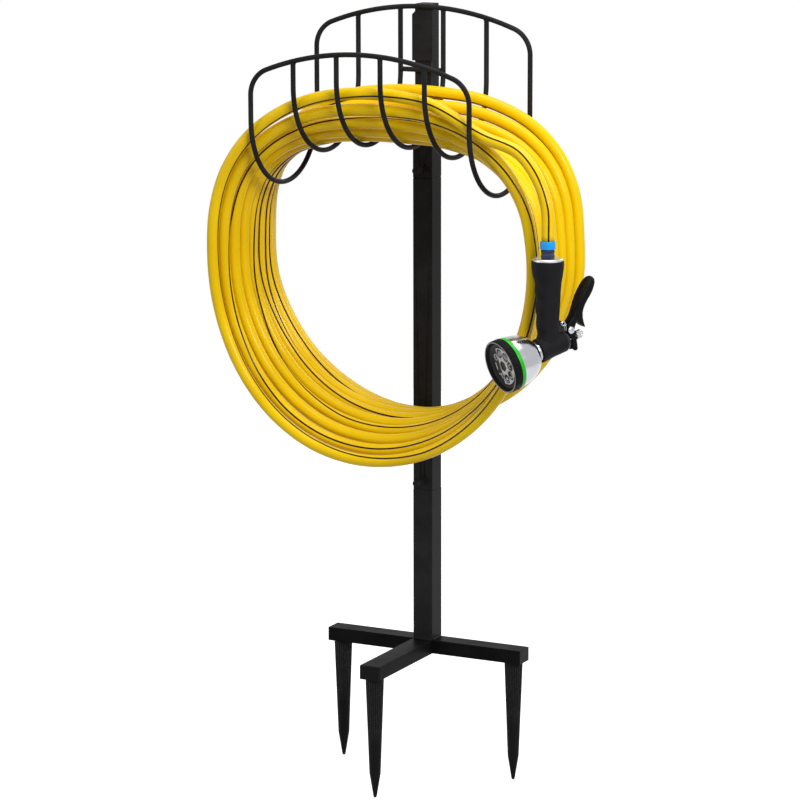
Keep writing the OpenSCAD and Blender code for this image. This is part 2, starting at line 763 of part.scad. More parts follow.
module spray_face() {
    plate_z = bezel_z + 4;
    plate_l = 4;
    hub_z = bell_end + move_gap;
    color(plastic) nozzle_place() barrel_place() difference() {
        union() {
            translate([0, 0, plate_z]) cylinder(r = bezel_inner_r - weld_gap, h = plate_l);
            translate([0, 0, hub_z]) cylinder(r = spindle_r + 4, h = plate_z - hub_z + e);
        }
        translate([0, 0, hub_z - 1]) cylinder(r = spindle_r + move_gap, h = spindle_l + 1);
        for (i = [0:7])
            rotate([0, 0, i * 45]) translate([19, 0, plate_z + 2]) cylinder(r = i % 2 == 0 ? 5.5 : 4.5, h = 4);
    }
}

trigger_gap = lug_t / 2 + move_gap;
cheek_t = 3;

module trigger() {
    half = trigger_w / 2;
    color(plastic) nozzle_place() translate([0, pivot_h, pivot_z]) difference() {
        union() {
            intersection() {
                translate([-half, 0, 0]) rotate([90, 0, 90]) linear_extrude(trigger_w)
                    paddle_profile();
                rotate([90, 0, 0]) translate([0, 0, -60]) linear_extrude(80)
                    paddle_front(half);
            }
            for (s = [-1, 1])
                translate([s > 0 ? trigger_gap : -trigger_gap - cheek_t, 0, 0]) rotate([90, 0, 90])
                    linear_extrude(cheek_t) cheek_profile();
        }
        translate([-half, 0, 0]) rotate([0, 90, 0]) cylinder(d = pin_d + 2 * move_gap, h = trigger_w);
    }
}

// the paddle from the side, with its spur; the pivot is at 0, 0
module paddle_profile() {
    polygon([[1, 14], [5, 24], [10, 36], [16, 49], [24, 61], [31, 68], [36, 69], [38, 65],
        [36, 55], [31, 45], [24, 36], [20, 26], [20, 14], [24, 2], [19, 3], [13, 10], [8, 14]]);
}

// and from the front, narrower at its root
module paddle_front(half) {
    polygon([[-half + 2, 2], [half - 2, 2], [half - 2, 28], [half, 40], [half, 60],
        [half - 3, 67], [half - 7, 70], [7 - half, 70], [3 - half, 67], [-half, 60],
        [-half, 40], [2 - half, 28]]);
}

module cheek_profile() {
    circle(d = 12);
    polygon([[-5, -3], [6, -3], [10, -14], [12, -27], [6.5, -28], [4.5, -20], [3.2, -8]]);
    polygon([[-5, 3], [1, 14], [8, 16], [14, 12], [6, 0]]);
}

module trigger_pin() {
    pin_l = trigger_w - 4;
    color(chrome) nozzle_place() translate([-pin_l / 2, pivot_h, pivot_z]) rotate([0, 90, 0])
        cylinder(d = pin_d, h = pin_l);
}

stem_back = 57;
adjuster_start = 54;
adjuster_l = 8.2;

module valve_stem() {
    color(chrome) nozzle_place() barrel_place() {
        translate([0, 0, -stem_back]) cylinder(d = stem_d, h = stem_back - 14);
        translate([0, 0, -18]) cylinder(d = bore_d - 2, h = 5);
    }
}

module flow_adjuster() {
    color(chrome) nozzle_place() barrel_place() translate([0, 0, -adjuster_start]) difference() {
        cylinder(d = adjuster_d, h = adjuster_l);
        translate([0, 0, -1]) cylinder(d = stem_d + 2 * move_gap, h = adjuster_l + 2);
        for (i = [0:11])
            rotate([0, 0, i * 30]) translate([adjuster_d / 2 + 0.3, 0, -1]) cylinder(r = 0.9, h = adjuster_l + 2);
    }
}

base_cross_bar();
base_front_arm();
bar_cap_left();
bar_cap_right();
arm_cap_front();
spike_left();
spike_right();
spike_front();
spike_nut_left();
spike_nut_right();
spike_nut_front();
post_stub();
post_main();
post_sleeve();
spigot_lower();
spigot_upper();
neck_collar();
neck_tube();
neck_cap();
neck_plate();
lower_washer();
upper_washer();
lower_clamp_screw();
upper_clamp_screw();
front_rail();
back_rail();
end_wire_left();
end_wire_right();
cradle_wire_1();
cradle_wire_2();
cradle_wire_3();
cradle_wire_4();
cross_wire();
hose_coil();
tap_ferrule();
tap_nut();
hose_ferrule();
hose_nut();
nozzle_core();
nozzle_grip();
gland_nut();
neck_ring();
spray_bell();
green_ring();
spray_bezel();
spray_face();
trigger();
trigger_pin();
valve_stem();
flow_adjuster();
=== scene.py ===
# %% [markdown]
# # A hose stand with its hose and spray nozzle
# The steel stand comes from the CAD model as a fixed frame of named nodes. This lesson
# gives every node a finish and builds what CAD keeps plain: the hose, the ribbed spikes,
# the weld beads and the nozzle's parts. Z is up, the post stands on the Z axis, ground
# level is Z = 0 and the cradle lies toward -Y. Shapes are worked out in millimetres, as
# in the CAD source, and become metres when they are put into a mesh.

# %% Load the frame
import math

import bpy
import numpy as np
from mathutils import Matrix


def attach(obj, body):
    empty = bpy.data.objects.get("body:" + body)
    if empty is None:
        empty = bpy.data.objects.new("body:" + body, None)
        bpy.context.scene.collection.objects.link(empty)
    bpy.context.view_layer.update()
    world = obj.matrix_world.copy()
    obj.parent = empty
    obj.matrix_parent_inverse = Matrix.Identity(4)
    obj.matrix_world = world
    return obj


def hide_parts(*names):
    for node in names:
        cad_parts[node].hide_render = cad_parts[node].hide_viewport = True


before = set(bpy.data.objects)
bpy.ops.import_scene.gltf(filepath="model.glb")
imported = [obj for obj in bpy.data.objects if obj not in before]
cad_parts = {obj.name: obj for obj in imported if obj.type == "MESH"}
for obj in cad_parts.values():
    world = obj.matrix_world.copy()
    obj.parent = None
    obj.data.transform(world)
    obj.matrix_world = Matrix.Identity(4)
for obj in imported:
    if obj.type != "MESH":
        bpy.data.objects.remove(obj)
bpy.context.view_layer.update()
MM = 0.001
FULL_TURN = 2 * math.pi

# %% [markdown]
# ## Small tools
# A few short helpers come up again and again, for arrays and for objects.

# %% Array and object helpers
def unit(vectors):
    """Each vector divided by its length."""
    return vectors / np.linalg.norm(vectors, axis=-1, keepdims=True)


def signed_power(value, power):
    """The size of value to the power, with the sign of value."""
    return np.sign(value) * np.abs(value) ** power


def ring_angles(count):
    """Angles evenly round a full turn, as one row."""
    return np.linspace(0, FULL_TURN, count, endpoint=False)[None, :]


def run_along(points):
    """The length of the line from its first point to each point."""
    return np.concatenate([[0], np.cumsum(np.linalg.norm(np.diff(points, axis=0), axis=1))])


def ramp(value, width):
    """0 below zero, 1 above width, and rising evenly between."""
    return np.clip(value / width, 0, 1)


def waves(count, angle):
    """A cosine from 1 at angle 0 to 0 and back, count times round."""
    return 0.5 + 0.5 * np.cos(count * angle)


def set_all(thing, **settings):
    for name, value in settings.items():
        setattr(thing, name, value)
    return thing


def in_scene(name, data):
    """A new object of this mesh, lamp or camera, in the scene's collection."""
    thing = bpy.data.objects.new(name, data)
    bpy.context.scene.collection.objects.link(thing)
    return thing


def stand_at(thing, right, up, back, place):
    """The columns of the object's matrix are its X, Y and Z axes and its place."""
    matrix = np.eye(4)
    matrix[:3] = np.stack([right, up, back, place], axis=1)
    thing.matrix_world = Matrix(matrix.tolist())

# %% [markdown]
# ## The camera
# The picture is taken from the front and a little to the right, with a long lens from
# five metres away. A Track To constraint could aim the camera, but its axes are written
# into its matrix here, because that keeps the small roll of the photograph too.

# %% Camera
CAMERA_AZIMUTH, CAMERA_ELEVATION, CAMERA_ROLL = np.radians([27.04, 11.03, -0.13])
CAMERA_DISTANCE, CAMERA_LENS, SENSOR_WIDTH = 5.078, 160.2, 36.0
CAMERA_TARGET = np.array([-0.0435, 0.0, 0.3632])


def make_camera():
    """back points from the target to the camera, right is level, up is their cross
    product, and the roll turns right and up about back."""
    (ca, ce, cr), (sa, se, sr) = [turn([CAMERA_AZIMUTH, CAMERA_ELEVATION, CAMERA_ROLL])
                                  for turn in (np.cos, np.sin)]
    right, back = np.array([ca, sa, 0]), np.array([sa * ce, -ca * ce, se])
    up = np.cross(back, right)
    camera = in_scene("photo_camera", set_all(bpy.data.cameras.new("photo_camera"), lens=CAMERA_LENS,
                                              sensor_width=SENSOR_WIDTH, clip_end=50.0))
    place = CAMERA_TARGET + CAMERA_DISTANCE * back
    stand_at(camera, cr * right + sr * up, cr * up - sr * right, back, place)
    bpy.context.scene.camera = camera
    print("camera at", np.round(place, 3))


make_camera()

# %% [markdown]
# ## Meshes from arrays
# Every new piece is a surface worked out with numpy. One maker puts the arrays into a
# mesh, with the piece's place in its vertices, as a CAD node's is, and says what it
# rides on and the node it stands for. The others skin rows of rings.

# %% Grid and piece makers
def grid_faces(rows, columns):
    """Quads between each ring of vertices and the next, closed round each ring. Vertex
    number = row * columns + column, and the last column joins the first."""
    r, c = np.meshgrid(np.arange(rows - 1), np.arange(columns), indexing="ij")
    a = r * columns + c
    b = r * columns + (c + 1) % columns
    return np.stack([a, b, b + columns, a + columns], axis=-1).reshape(-1, 4)


def end_caps(rows, columns):
    """One flat face on the first ring, turned round, and one on the last."""
    return [np.arange(columns)[::-1], (rows - 1) * columns + np.arange(columns)]


def new_piece(name, points, quads, material, body, slot, node=None, caps=(), uv=None, sharp=None):
    """points are places in millimetres, quads vertex numbers, caps more faces with any
    number of corners, and uv one pair for each corner of a quad. Edges steeper than
    sharp degrees stay sharp."""
    mesh = bpy.data.meshes.new(name)
    faces = [tuple(map(int, face)) for face in (*quads, *caps)]
    mesh.from_pydata((np.asarray(points, dtype=float) * MM).tolist(), [], faces)
    mesh.validate()
    mesh.polygons.foreach_set("use_smooth", np.full(len(mesh.polygons), True))
    if uv is not None:
        flat = np.zeros((len(mesh.loops), 2))
        flat[:len(uv)] = uv
        mesh.uv_layers.new(name="along").data.foreach_set("uv", flat.ravel())
    mesh.materials.append(material)
    mesh.update()
    if sharp is not None:
        mesh.set_sharp_from_angle(angle=math.radians(sharp))
    piece = in_scene(name, mesh)
    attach(piece, body)
    if node is not None:
        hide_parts(node)
    print("made", name, "with", len(faces), "faces, on", body)
    return piece


def closed_rings(name, rings, *where, **more):
    """A skin over rings, an array rows x columns x 3, with a cap on both ends."""
    rows, columns, _ = rings.shape
    return new_piece(name, rings.reshape(-1, 3), grid_faces(rows, columns), *where,
                     caps=end_caps(rows, columns), **more)

# %% [markdown]
# ## Finishes
# A finish is a small node network round one Principled BSDF. Numbers that are the same
# all over are set straight on its sockets. Patterns read Object coordinates in metres,
# so a grain is as large on a thin wire as on the post, and bump heights are given in
# millimetres, because the real dents are that small.

# %% Material helpers
def feed(node, inputs):
    """Give each socket, by name or number, a plain value or another node's output."""
    for socket, value in inputs.items():
        if isinstance(value, bpy.types.NodeSocket):
            node.id_data.links.new(value, node.inputs[socket])
        else:
            node.inputs[socket].default_value = value


def add(tree, kind, inputs=None, **switches):
    node = set_all(tree.nodes.new("ShaderNode" + kind), **switches)
    feed(node, inputs or {})
    return node


def wiring(material):
    """A finish's node tree and its Principled BSDF."""
    return material.node_tree, material.node_tree.nodes["Principled BSDF"]


def finish(name, colour, roughness, metallic=0.0, coat=0.0, coat_roughness=0.1, specular=0.5):
    """A new material with one Principled BSDF."""
    material = bpy.data.materials.new(name)
    material.use_nodes = True
    tree, shader = wiring(material)
    feed(shader, {"Base Color": (*colour, 1.0), "Roughness": roughness, "Metallic": metallic,
                  "Coat Weight": coat, "Coat Roughness": coat_roughness, "Specular IOR Level": specular})
    return material, tree, shader


def maths(tree, operation, *values):
    return add(tree, "Math", dict(enumerate(values)), operation=operation).outputs["Value"]


def object_place(tree):
    return add(tree, "TexCoord").outputs["Object"]


def object_noise(tree, cell, detail=2.0, roughness=0.5):
    """Noise on Object coordinates. cell is the size of one blotch in metres, so the
    node's scale is 1 / cell."""
    return add(tree, "TexNoise", {"Scale": 1.0 / cell, "Detail": detail, "Roughness": roughness,
                                  "Vector": object_place(tree)}).outputs["Fac"]


def spread(tree, value, low, high, start=0.3, end=0.7):
    """value from start..end laid out over low..high, held at both ends."""
    return add(tree, "MapRange", {"Value": value, "From Min": start, "From Max": end,
                                  "To Min": low, "To Max": high}).outputs["Result"]


def two_colours(tree, factor, *pair):
    """The first of the pair where factor is 0 and the second where it is 1; each is a
    colour or a node's output. A colour Mix node has the factor in input 0, the colours
    in inputs 6 and 7, and the result in output 2."""
    first, second = [end if isinstance(end, bpy.types.NodeSocket) else (*end, 1.0) for end in pair]
    return add(tree, "Mix", {0: factor, 6: first, 7: second}, data_type="RGBA").outputs[2]


def dents(tree, shader, height, depth_mm, strength=1.0, below=None):
    """Bump whose full height is depth_mm millimetres, over the bump below if any."""
    bump = add(tree, "Bump", {"Strength": strength, "Distance": depth_mm * MM, "Height": height})
    if below is not None:
        feed(bump, {"Normal": below})
    feed(shader, {"Normal": bump.outputs["Normal"]})
    return bump.outputs["Normal"]


def mottled(name, dark, light, cloud, shine, grain=None, **own):
    """A finish with one cloudy noise, cloud = (cell, detail). It moves the colour from
    dark to light, unless light is None, and the roughness over the pair shine, unless
    that holds one number. grain = (cell, detail, depth, strength) is finer, in dents."""
    material, tree, shader = finish(name, dark, shine[0], **own)
    noise = object_noise(tree, *cloud)
    if light is not None:
        feed(shader, {"Base Color": two_colours(tree, noise, dark, light)})
    if len(shine) == 2:
        feed(shader, {"Roughness": spread(tree, noise, *shine)})
    if grain is not None:
        dents(tree, shader, object_noise(tree, *grain[:2]), *grain[2:])
    return material

# %% [markdown]
# ### The stand's finishes
# The stand's steel is powder coated: satin black, with a faint orange peel of bumps a
# millimetre or two wide and clouds of grey dust. The caps are moulded black plastic
# with a fine grain and flow marks, and the nuts are zinc plated, dull and clouded.

# %% Stand finishes
def powder_coat(name="powder_coat", dark=(0.0130, 0.0130, 0.0136), worn=(0.0230, 0.0230, 0.0238)):
    material, tree, shader = finish(name, dark, 0.45, specular=0.03)
    dust = object_noise(tree, 0.045, detail=5.0, roughness=0.6)
    feed(shader, {"Base Color": two_colours(tree, spread(tree, dust, 0.0, 1.0, 0.4, 0.72), dark, worn),
                  "Roughness": spread(tree, dust, 0.36, 0.5)})
    dents(tree, shader, object_noise(tree, 0.0016, detail=1.5), 0.05, 0.5)
    return material


def moulded_black(name="moulded_black", grain=0.0006, gloss=0.5):
    return mottled(name, (0.0028, 0.0028, 0.0033), (0.0065, 0.0065, 0.0074), (0.02, 3.0),
                   (gloss - 0.06, gloss + 0.08), (grain, 2.0, 0.04, 0.6), specular=0.06)


POWDER = powder_coat()
# The base bars get a darker copy of the same powder coat: painted shade, as they are the same steel as the
# post.
SHADED_BASE_POWDER = powder_coat("base_powder_coat_painted_shade", (0.0022, 0.0022, 0.0024), (0.0055, 0.0055, 0.0058))
MOULDED = moulded_black()
ZINC = mottled("zinc_plate", (0.46, 0.47, 0.49), (0.62, 0.63, 0.65), (0.003, 4.0), (0.28, 0.5), metallic=1.0)
print("finishes", [material.name for material in (POWDER, SHADED_BASE_POWDER, MOULDED, ZINC)])

# %% [markdown]
# ## The hose
# The hose is one long tube, wound ten times and hung over the cradle on the CAD model's
# route: each turn is a rounded outline in the XZ plane, and the turns lie side by side
# on an arc across it. A Bezier curve with a bevel could draw it, but rings carried along
# the route give a UV map that runs with the hose, and the printed stripe needs that.

# %% The hose's route, in millimetres as in the CAD source
HOSE_D = 17.0
WIRE_R = 3.5
CRADLE_BACK_Y, CRADLE_DEPTH, CRADLE_W = -16.0, 191.0, 332.0
INNER_WIRES = 4
WIRE_STEP = CRADLE_W / (INNER_WIRES + 1)
MID_WIRE_Z = 742.0
MID_Y = CRADLE_BACK_Y - CRADLE_DEPTH / 2
REST_GAP = 0.7
CRADLE_R = CRADLE_DEPTH / 2 - WIRE_R - HOSE_D / 2 - REST_GAP
TURNS, RINGS = 10, 24
LOOP_X, LOOP_HALF_W, LOOP_MID_Z, LOOP_DROP = 6.5, 221.0, 592.0, 235
LOOP_RISE = MID_WIRE_Z + CRADLE_DEPTH / 2 - CRADLE_R - LOOP_MID_Z
TOP_POWER, FRONT_TOP_POWER, LOW_POWER, BACK_FLAT, FRONT_FULL = 2.88, 2.37, 2.03, 0.155, 0.075
STEP_TOP, STEP_SIDE, STEP_LOW = 20, 18.35, 20
SIDE_BOW_R, LOW_BOW_R = 163, 162
LOW_LEAN, SIDE_LEAN = math.radians(13.3), math.radians(2)
FRONT_TURNS, FRONT_LIFT = 4.9, 15
TOP_DRIFT, SIDE_DRIFT, LOW_DRIFT = -0.5, -0.55, 1.55
EASE_STEEPNESS = 2.5
NOZZLE_X, NOZZLE_Y = 285.0, -214.0
BARREL_Z = 500.0
HANDLE_H, FLANGE_T, HOSE_NUT_H, FERRULE_H = 112.0, 7.5, 12.0, 10.7
FLANGE_Z = BARREL_Z + HANDLE_H
NUT_Z = FLANGE_Z + FLANGE_T
FERRULE_Z = NUT_Z + HOSE_NUT_H + FERRULE_H
TAP = (-265.0, -35.0, 572.0)


def over_wire(i, turn):
    """Angle at which a turn passes over wire i, counted from the right."""
    middle_x = LOOP_X + TOP_DRIFT * (turn - FRONT_TURNS)
    r = (((INNER_WIRES + 1) / 2 - i) * WIRE_STEP - middle_x) / LOOP_HALF_W
    return math.acos(signed_power(r, TOP_POWER / 2))


def stations(turn):
    """Angles of one turn: one over each wire, the others evenly between the last wire
    and the first."""
    top = np.array([over_wire(i, turn) for i in range(INNER_WIRES + 2)])
    rest = RINGS - len(top)
    share = np.arange(1, rest + 1) / (rest + 1)
    return np.concatenate([top, top[-1] + (FULL_TURN + top[0] - top[-1]) * share])


def eased(value):
    """From 0 to 1 as value goes from -0.4 to 0.4, on the curve 3 t^2 - 2 t^3."""
    t = np.clip(value * EASE_STEEPNESS, -1, 1) * 0.5 + 0.5
    return t * t * (3 - 2 * t)


def coil_points(turn_angle):
    """Places of the hose's centre at turn_angle, in radians from the coil's start. The
    outline is x = half width * cos^(2/n), z = height * sin^(2/n), with n larger over
    the cradle. The place across the turns is an arc of radius bow, reached after
    step * k along it, so the turns hug the cradle's wires."""
    a = turn_angle % FULL_TURN
    c, s = np.cos(a), np.sin(a)
    up = s > 0
    k = turn_angle / FULL_TURN - 0.25 - FRONT_TURNS
    forward, backward = np.clip(-k / FRONT_TURNS, 0, 1), np.clip(k / FRONT_TURNS, 0, 1)
    low_n = LOW_POWER + eased(c) * (FRONT_FULL * forward - BACK_FLAT * backward)
    top_n = TOP_POWER - (TOP_POWER - FRONT_TOP_POWER) * forward
    n = low_n + (top_n - low_n) * eased(s)
    b = np.where(up, LOOP_RISE, LOOP_DROP)
    x = LOOP_X + LOOP_HALF_W * signed_power(c, 2 / n)
    z = LOOP_MID_Z + b * signed_power(s, 2 / n)
    nx, nz = signed_power(c, 2 - 2 / n) / LOOP_HALF_W, signed_power(s, 2 - 2 / n) / b
    nl = np.hypot(nx, nz)
    top, low, side = np.where(up, s * s, 0), np.where(up, 0, s * s), c * c
    bow = 1 / (top / CRADLE_R + side / SIDE_BOW_R + low / LOW_BOW_R)
    phi = (top * STEP_TOP + side * STEP_SIDE + low * STEP_LOW) * k / bow
    lean = side * SIDE_LEAN + low * LOW_LEAN
    across = bow * np.sin(phi)
    out = bow * (1 - np.cos(phi)) * np.cos(lean) - across * np.sin(lean)
    out = out + FRONT_LIFT * top * forward ** 2
    drift = top * TOP_DRIFT + side * SIDE_DRIFT + low * LOW_DRIFT
    return np.stack([x + nx / nl * out + drift * k, MID_Y + across * np.cos(lean),
                     z + nz / nl * out], axis=1)


START_RUN = np.array([
    (NOZZLE_X, NOZZLE_Y, FERRULE_Z), (NOZZLE_X, NOZZLE_Y, FERRULE_Z + HOSE_D),
    (284, -213, 680), (277, -211, 704), (262, -207, 730), (240, -202, 752)])
END_RUN = np.array([
    (-106, -33.5, 800), (-140, -32, 789), (-166, -30, 776), (-190, -28, 759), (-214, -29, 736),
    (-238, -30, 704), (-256, -32, 664), (-264, -34, 626), (TAP[0], TAP[1], TAP[2] + HOSE_D), TAP])
SETTLED = ((0.5, -3.4), (1.5, -1.0), (8.02, 0.5), (9.02, 1.0))
SETTLED_REACH = 0.09


def settled(points):
    """Turns that lean on their neighbours: near a middle turn m the hose moves away from
    the loop's middle by shift * exp(-((turn - m) / reach)^2)."""
    turn = np.arange(len(points)) / RINGS
    out = unit(points * [1, 0, 1] - [LOOP_X, 0, LOOP_MID_Z])
    for middle, shift in SETTLED:
        points = points + (shift * np.exp(-((turn - middle) / SETTLED_REACH) ** 2))[:, None] * out
    return points


def hose_route():
    """The run from the nozzle, ten turns that end over the last inner wire, and the run
    to the tap."""
    angles = np.concatenate([FULL_TURN * turn + stations(turn) for turn in range(TURNS + 1)])
    angles = angles[:TURNS * RINGS + INNER_WIRES]
    return np.vstack([START_RUN, settled(coil_points(angles)), END_RUN])


ROUTE = hose_route()
print("route points", len(ROUTE), "chord length m", run_along(ROUTE)[-1] * MM)

# %% [markdown]
# A cubic Hermite curve makes a smooth line through the route's points: its slope at each
# point is a mean of the chords to the two neighbours. The rings are spaced evenly along
# it. Each stands on two directions square to the hose, `outward` and `beside`.

# %% Smooth line and its directions
RING_STEP = 8.0


def smooth_line(route, step):
    """A Hermite curve through the route, with knots spaced by the chord lengths, cut
    into pieces of about step."""
    chord = np.linalg.norm(np.diff(route, axis=0), axis=1)
    knots = run_along(route)
    pace = (route[1:] - route[:-1]) / chord[:, None]
    weight = chord[:-1, None] / (chord[:-1, None] + chord[1:, None])
    slope = np.vstack([pace[:1], pace[:-1] * (1 - weight) + pace[1:] * weight, pace[-1:]])
    at = np.linspace(0, knots[-1], int(round(knots[-1] / step)) + 1)
    i = np.clip(np.searchsorted(knots, at, side="right") - 1, 0, len(route) - 2)
    h = chord[i][:, None]
    t = ((at - knots[i]) / chord[i])[:, None]
    return ((2 * t**3 - 3 * t**2 + 1) * route[i] + (t**3 - 2 * t**2 + t) * h * slope[i]
            + (3 * t**2 - 2 * t**3) * route[i + 1] + (t**3 - t**2) * h * slope[i + 1])


def directions(line):
    """Outward, square to the hose and in the XZ plane, and beside, square to both."""
    along = unit(np.gradient(line, axis=0))
    outward = unit(np.cross([0.0, 1.0, 0.0], along))
    return outward, np.cross(along, outward)


LINE = smooth_line(ROUTE, RING_STEP)
OUTWARD, BESIDE = directions(LINE)
RUN = run_along(LINE)

# %% [markdown]
# The hose is clear glossy vinyl over yellow, with one thin dark stripe. A hose twists
# a little as it is wound, so the stripe sits at another angle on each turn. The pairs
# below give a turn and its angle, set from the photograph: 0 faces out of the
# loop, 90 the post, 180 the loop's middle and 270 the viewer, and 360 more is one more
# twist.

# %% The hose's finish and mesh
STRIPE_TWIST = np.array([
    (-0.3, 300), (0, 305), (0.05, 275), (0.2, 200), (0.4, 175), (0.55, 200), (0.65, 255), (0.75, 250),
    (0.8, 310), (0.85, 340), (0.9, 330), (1, 270), (1.1, 200), (1.2, 170), (1.3, 170), (1.4, 210),
    (1.5, 245), (1.6, 250), (1.7, 235), (1.95, 325), (2.1, 335), (2.2, 270), (2.25, 260), (2.3, 270),
    (2.35, 320), (2.4, 335), (2.8, 345), (3.2, 430), (3.4, 500), (3.55, 580), (3.8, 585), (4.15, 545),
    (4.3, 555), (4.4, 595), (4.45, 635), (4.5, 670), (4.7, 665), (5, 590), (5.2, 565), (5.35, 590),
    (5.45, 565), (5.65, 630), (6.15, 560), (6.35, 575), (6.5, 630), (6.9, 580), (7.35, 575), (7.45, 560),
    (7.55, 610), (8.2, 560), (8.5, 615), (9.2, 565), (9.45, 610), (10.3, 575)])
STRIPE_HALF_W = 0.023
HOSE_SIDES = 20


def hose_vinyl():
    """The stripe is where the UV map's v is within STRIPE_HALF_W of a half. The die
    leaves streaks along the hose, so the shine comes and goes in long lines, and the
    yarn under the skin shows as a faint diamond of dents."""
    material, tree, shader = finish("hose_vinyl", (0.76, 0.50, 0.001), 0.25, coat=0.05,
                                    coat_roughness=0.08, specular=0.11)
    uv = add(tree, "UVMap", uv_map="along").outputs["UV"]
    v = add(tree, "SeparateXYZ", {"Vector": uv}).outputs["Y"]
    away = maths(tree, "ABSOLUTE", maths(tree, "SUBTRACT", v, 0.5))
    in_stripe = spread(tree, away, 1.0, 0.0, STRIPE_HALF_W * 0.85, STRIPE_HALF_W * 1.15)
    tone = spread(tree, object_noise(tree, 0.09, detail=3.0), 0.0, 1.0, 0.35, 0.65)
    yellow = two_colours(tree, tone, (0.74, 0.470, 0.0006), (0.81, 0.535, 0.0010))
    pull = add(tree, "Mapping", {"Vector": uv, "Scale": (9.0, 14.0, 1.0)}).outputs["Vector"]
    streak = add(tree, "TexNoise", {"Vector": pull, "Scale": 1.0, "Detail": 2.0}).outputs["Fac"]
    feed(shader, {"Base Color": two_colours(tree, in_stripe, yellow, (0.022, 0.006, 0.004)),
                  "Roughness": spread(tree, streak, 0.12, 0.36, 0.35, 0.65)})
    stretch = add(tree, "Mapping", {"Vector": uv, "Scale": (60.0, 3.0, 1.0)}).outputs["Vector"]
    braid = add(tree, "TexWave", {"Vector": stretch, "Scale": 1.0}, bands_direction="DIAGONAL")
    ripple = dents(tree, shader, braid.outputs["Fac"], 0.03, 0.3)
    dents(tree, shader, object_noise(tree, 0.012), 0.25, 0.5, below=ripple)
    return material


def tube_rings(line, outward, beside, radius, sides, start_angle=0):
    """Ring j of a tube: centre + radius * (cos(angle) * outward + sin(angle) * beside),
    with angle = start_angle + 360 * j / sides."""
    angle = (start_angle + np.zeros(len(line)))[:, None] + ring_angles(sides)
    return (line[:, None, :] + radius * (np.cos(angle)[..., None] * outward[:, None, :]
                                         + np.sin(angle)[..., None] * beside[:, None, :]))


def make_hose():
    """A tube whose first side follows the stripe's other side, so that v = 0.5 is the
    stripe. u is the length run in metres and v the share of the way round."""
    route_run = run_along(ROUTE)
    turn = (np.interp(RUN, route_run * RUN[-1] / route_run[-1], np.arange(len(ROUTE)))
            - len(START_RUN)) / RINGS
    stripe = np.radians(np.interp(turn, STRIPE_TWIST[:, 0], STRIPE_TWIST[:, 1]))
    rings = tube_rings(LINE, OUTWARD, BESIDE, HOSE_D / 2, HOSE_SIDES, stripe - math.pi)
    u, v = RUN * MM, np.arange(HOSE_SIDES + 1) / HOSE_SIDES
    r, c = np.meshgrid(np.arange(len(LINE) - 1), np.arange(HOSE_SIDES), indexing="ij")
    uv = np.stack([np.stack([u[i], v[j]], -1) for i, j in ((r, c), (r, c + 1), (r + 1, c + 1), (r + 1, c))],
                  axis=2).reshape(-1, 2)
    return closed_rings("hose", rings, hose_vinyl(), "hose", "hose_yellow", "hose_coil", uv=uv)


HOSE = make_hose()

# %% [markdown]
# ## Soft edges on the steel
# The stand's CAD nodes have the right shapes and stay. Real tube has rounded corners,
# though, and a knife edge catches no light. A Weld modifier joins each node's loose
# triangles and a Bevel modifier rounds its edges; both leave the node's mesh as it is.

# %% Soft edges and finishes on the stand's nodes
WELD_REACH = 0.01
EDGE_FROM = math.radians(40)


def modify(piece, name, kind, **settings):
    set_all(piece.modifiers.new(name, kind), **settings)


def soften(width_mm, segments, *nodes):
    for node in nodes:
        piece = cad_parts[node]
        modify(piece, "weld", "WELD", merge_threshold=WELD_REACH * MM)
        modify(piece, "soft_edge", "BEVEL", width=width_mm * MM, segments=segments,
               limit_method="ANGLE", angle_limit=EDGE_FROM)


def give(material, *nodes):
    for node in nodes:
        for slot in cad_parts[node].material_slots:
            slot.material = material
    print(material.name, "on", *nodes)


TUBES = ["base_cross_bar", "base_front_arm", "post_stub", "post_main", "post_sleeve", "neck_tube"]
WIRES = ["front_rail", "back_rail", "end_wire_left", "end_wire_right", "cradle_wire_1",
         "cradle_wire_2", "cradle_wire_3", "cradle_wire_4", "cross_wire"]
PLATES = ["neck_collar", "neck_plate", "lower_washer", "upper_washer"]
SCREWS = ["lower_clamp_screw", "upper_clamp_screw"]
HIDDEN_STEEL = ["spigot_lower", "spigot_upper"]
CAPS = ["bar_cap_left", "bar_cap_right", "arm_cap_front", "neck_cap"]
NUTS = ["spike_nut_left", "spike_nut_right", "spike_nut_front"]
give(POWDER, *TUBES[2:], *WIRES, *PLATES, *SCREWS, *HIDDEN_STEEL)
give(SHADED_BASE_POWDER, *TUBES[:2])
give(MOULDED, *CAPS)
give(ZINC, *NUTS)
soften(1.2, 3, *TUBES)
soften(0.4, 2, *PLATES, *SCREWS, *NUTS)
soften(0.8, 3, *CAPS)

# %% [markdown]
# ## Weld beads
# Every wire is welded to a rail, and the post to the base. A bead on a wire is a small
# concave skirt of melted steel, wide at the rail: circles whose radius grows along a
# quarter arc.

# %% Weld beads
RAIL_R, CROSS_WIRE_Z = 400.0, 838
RAILS = ((CRADLE_BACK_Y - CRADLE_DEPTH, 875.0), (CRADLE_BACK_Y, 926.0))
BEAD_GAP, BEAD_R, BEAD_H, BEAD_FLARE, BEAD_WAVE = 6.2, 3.4, 3.8, 1.3, 0.12
SEAM_PITCH, SEAM_STEP, SEAM_SWELL = 0.8, 2.6, 0.10
SEAM_OUT, SEAM_HALF, SEAM_Z, POST_SEAM_R = 15.2, 14, 20.2, 1.3
ARM_LOW, ARM_HIGH, ARM_SEAM_R = 2, 18, 1.1


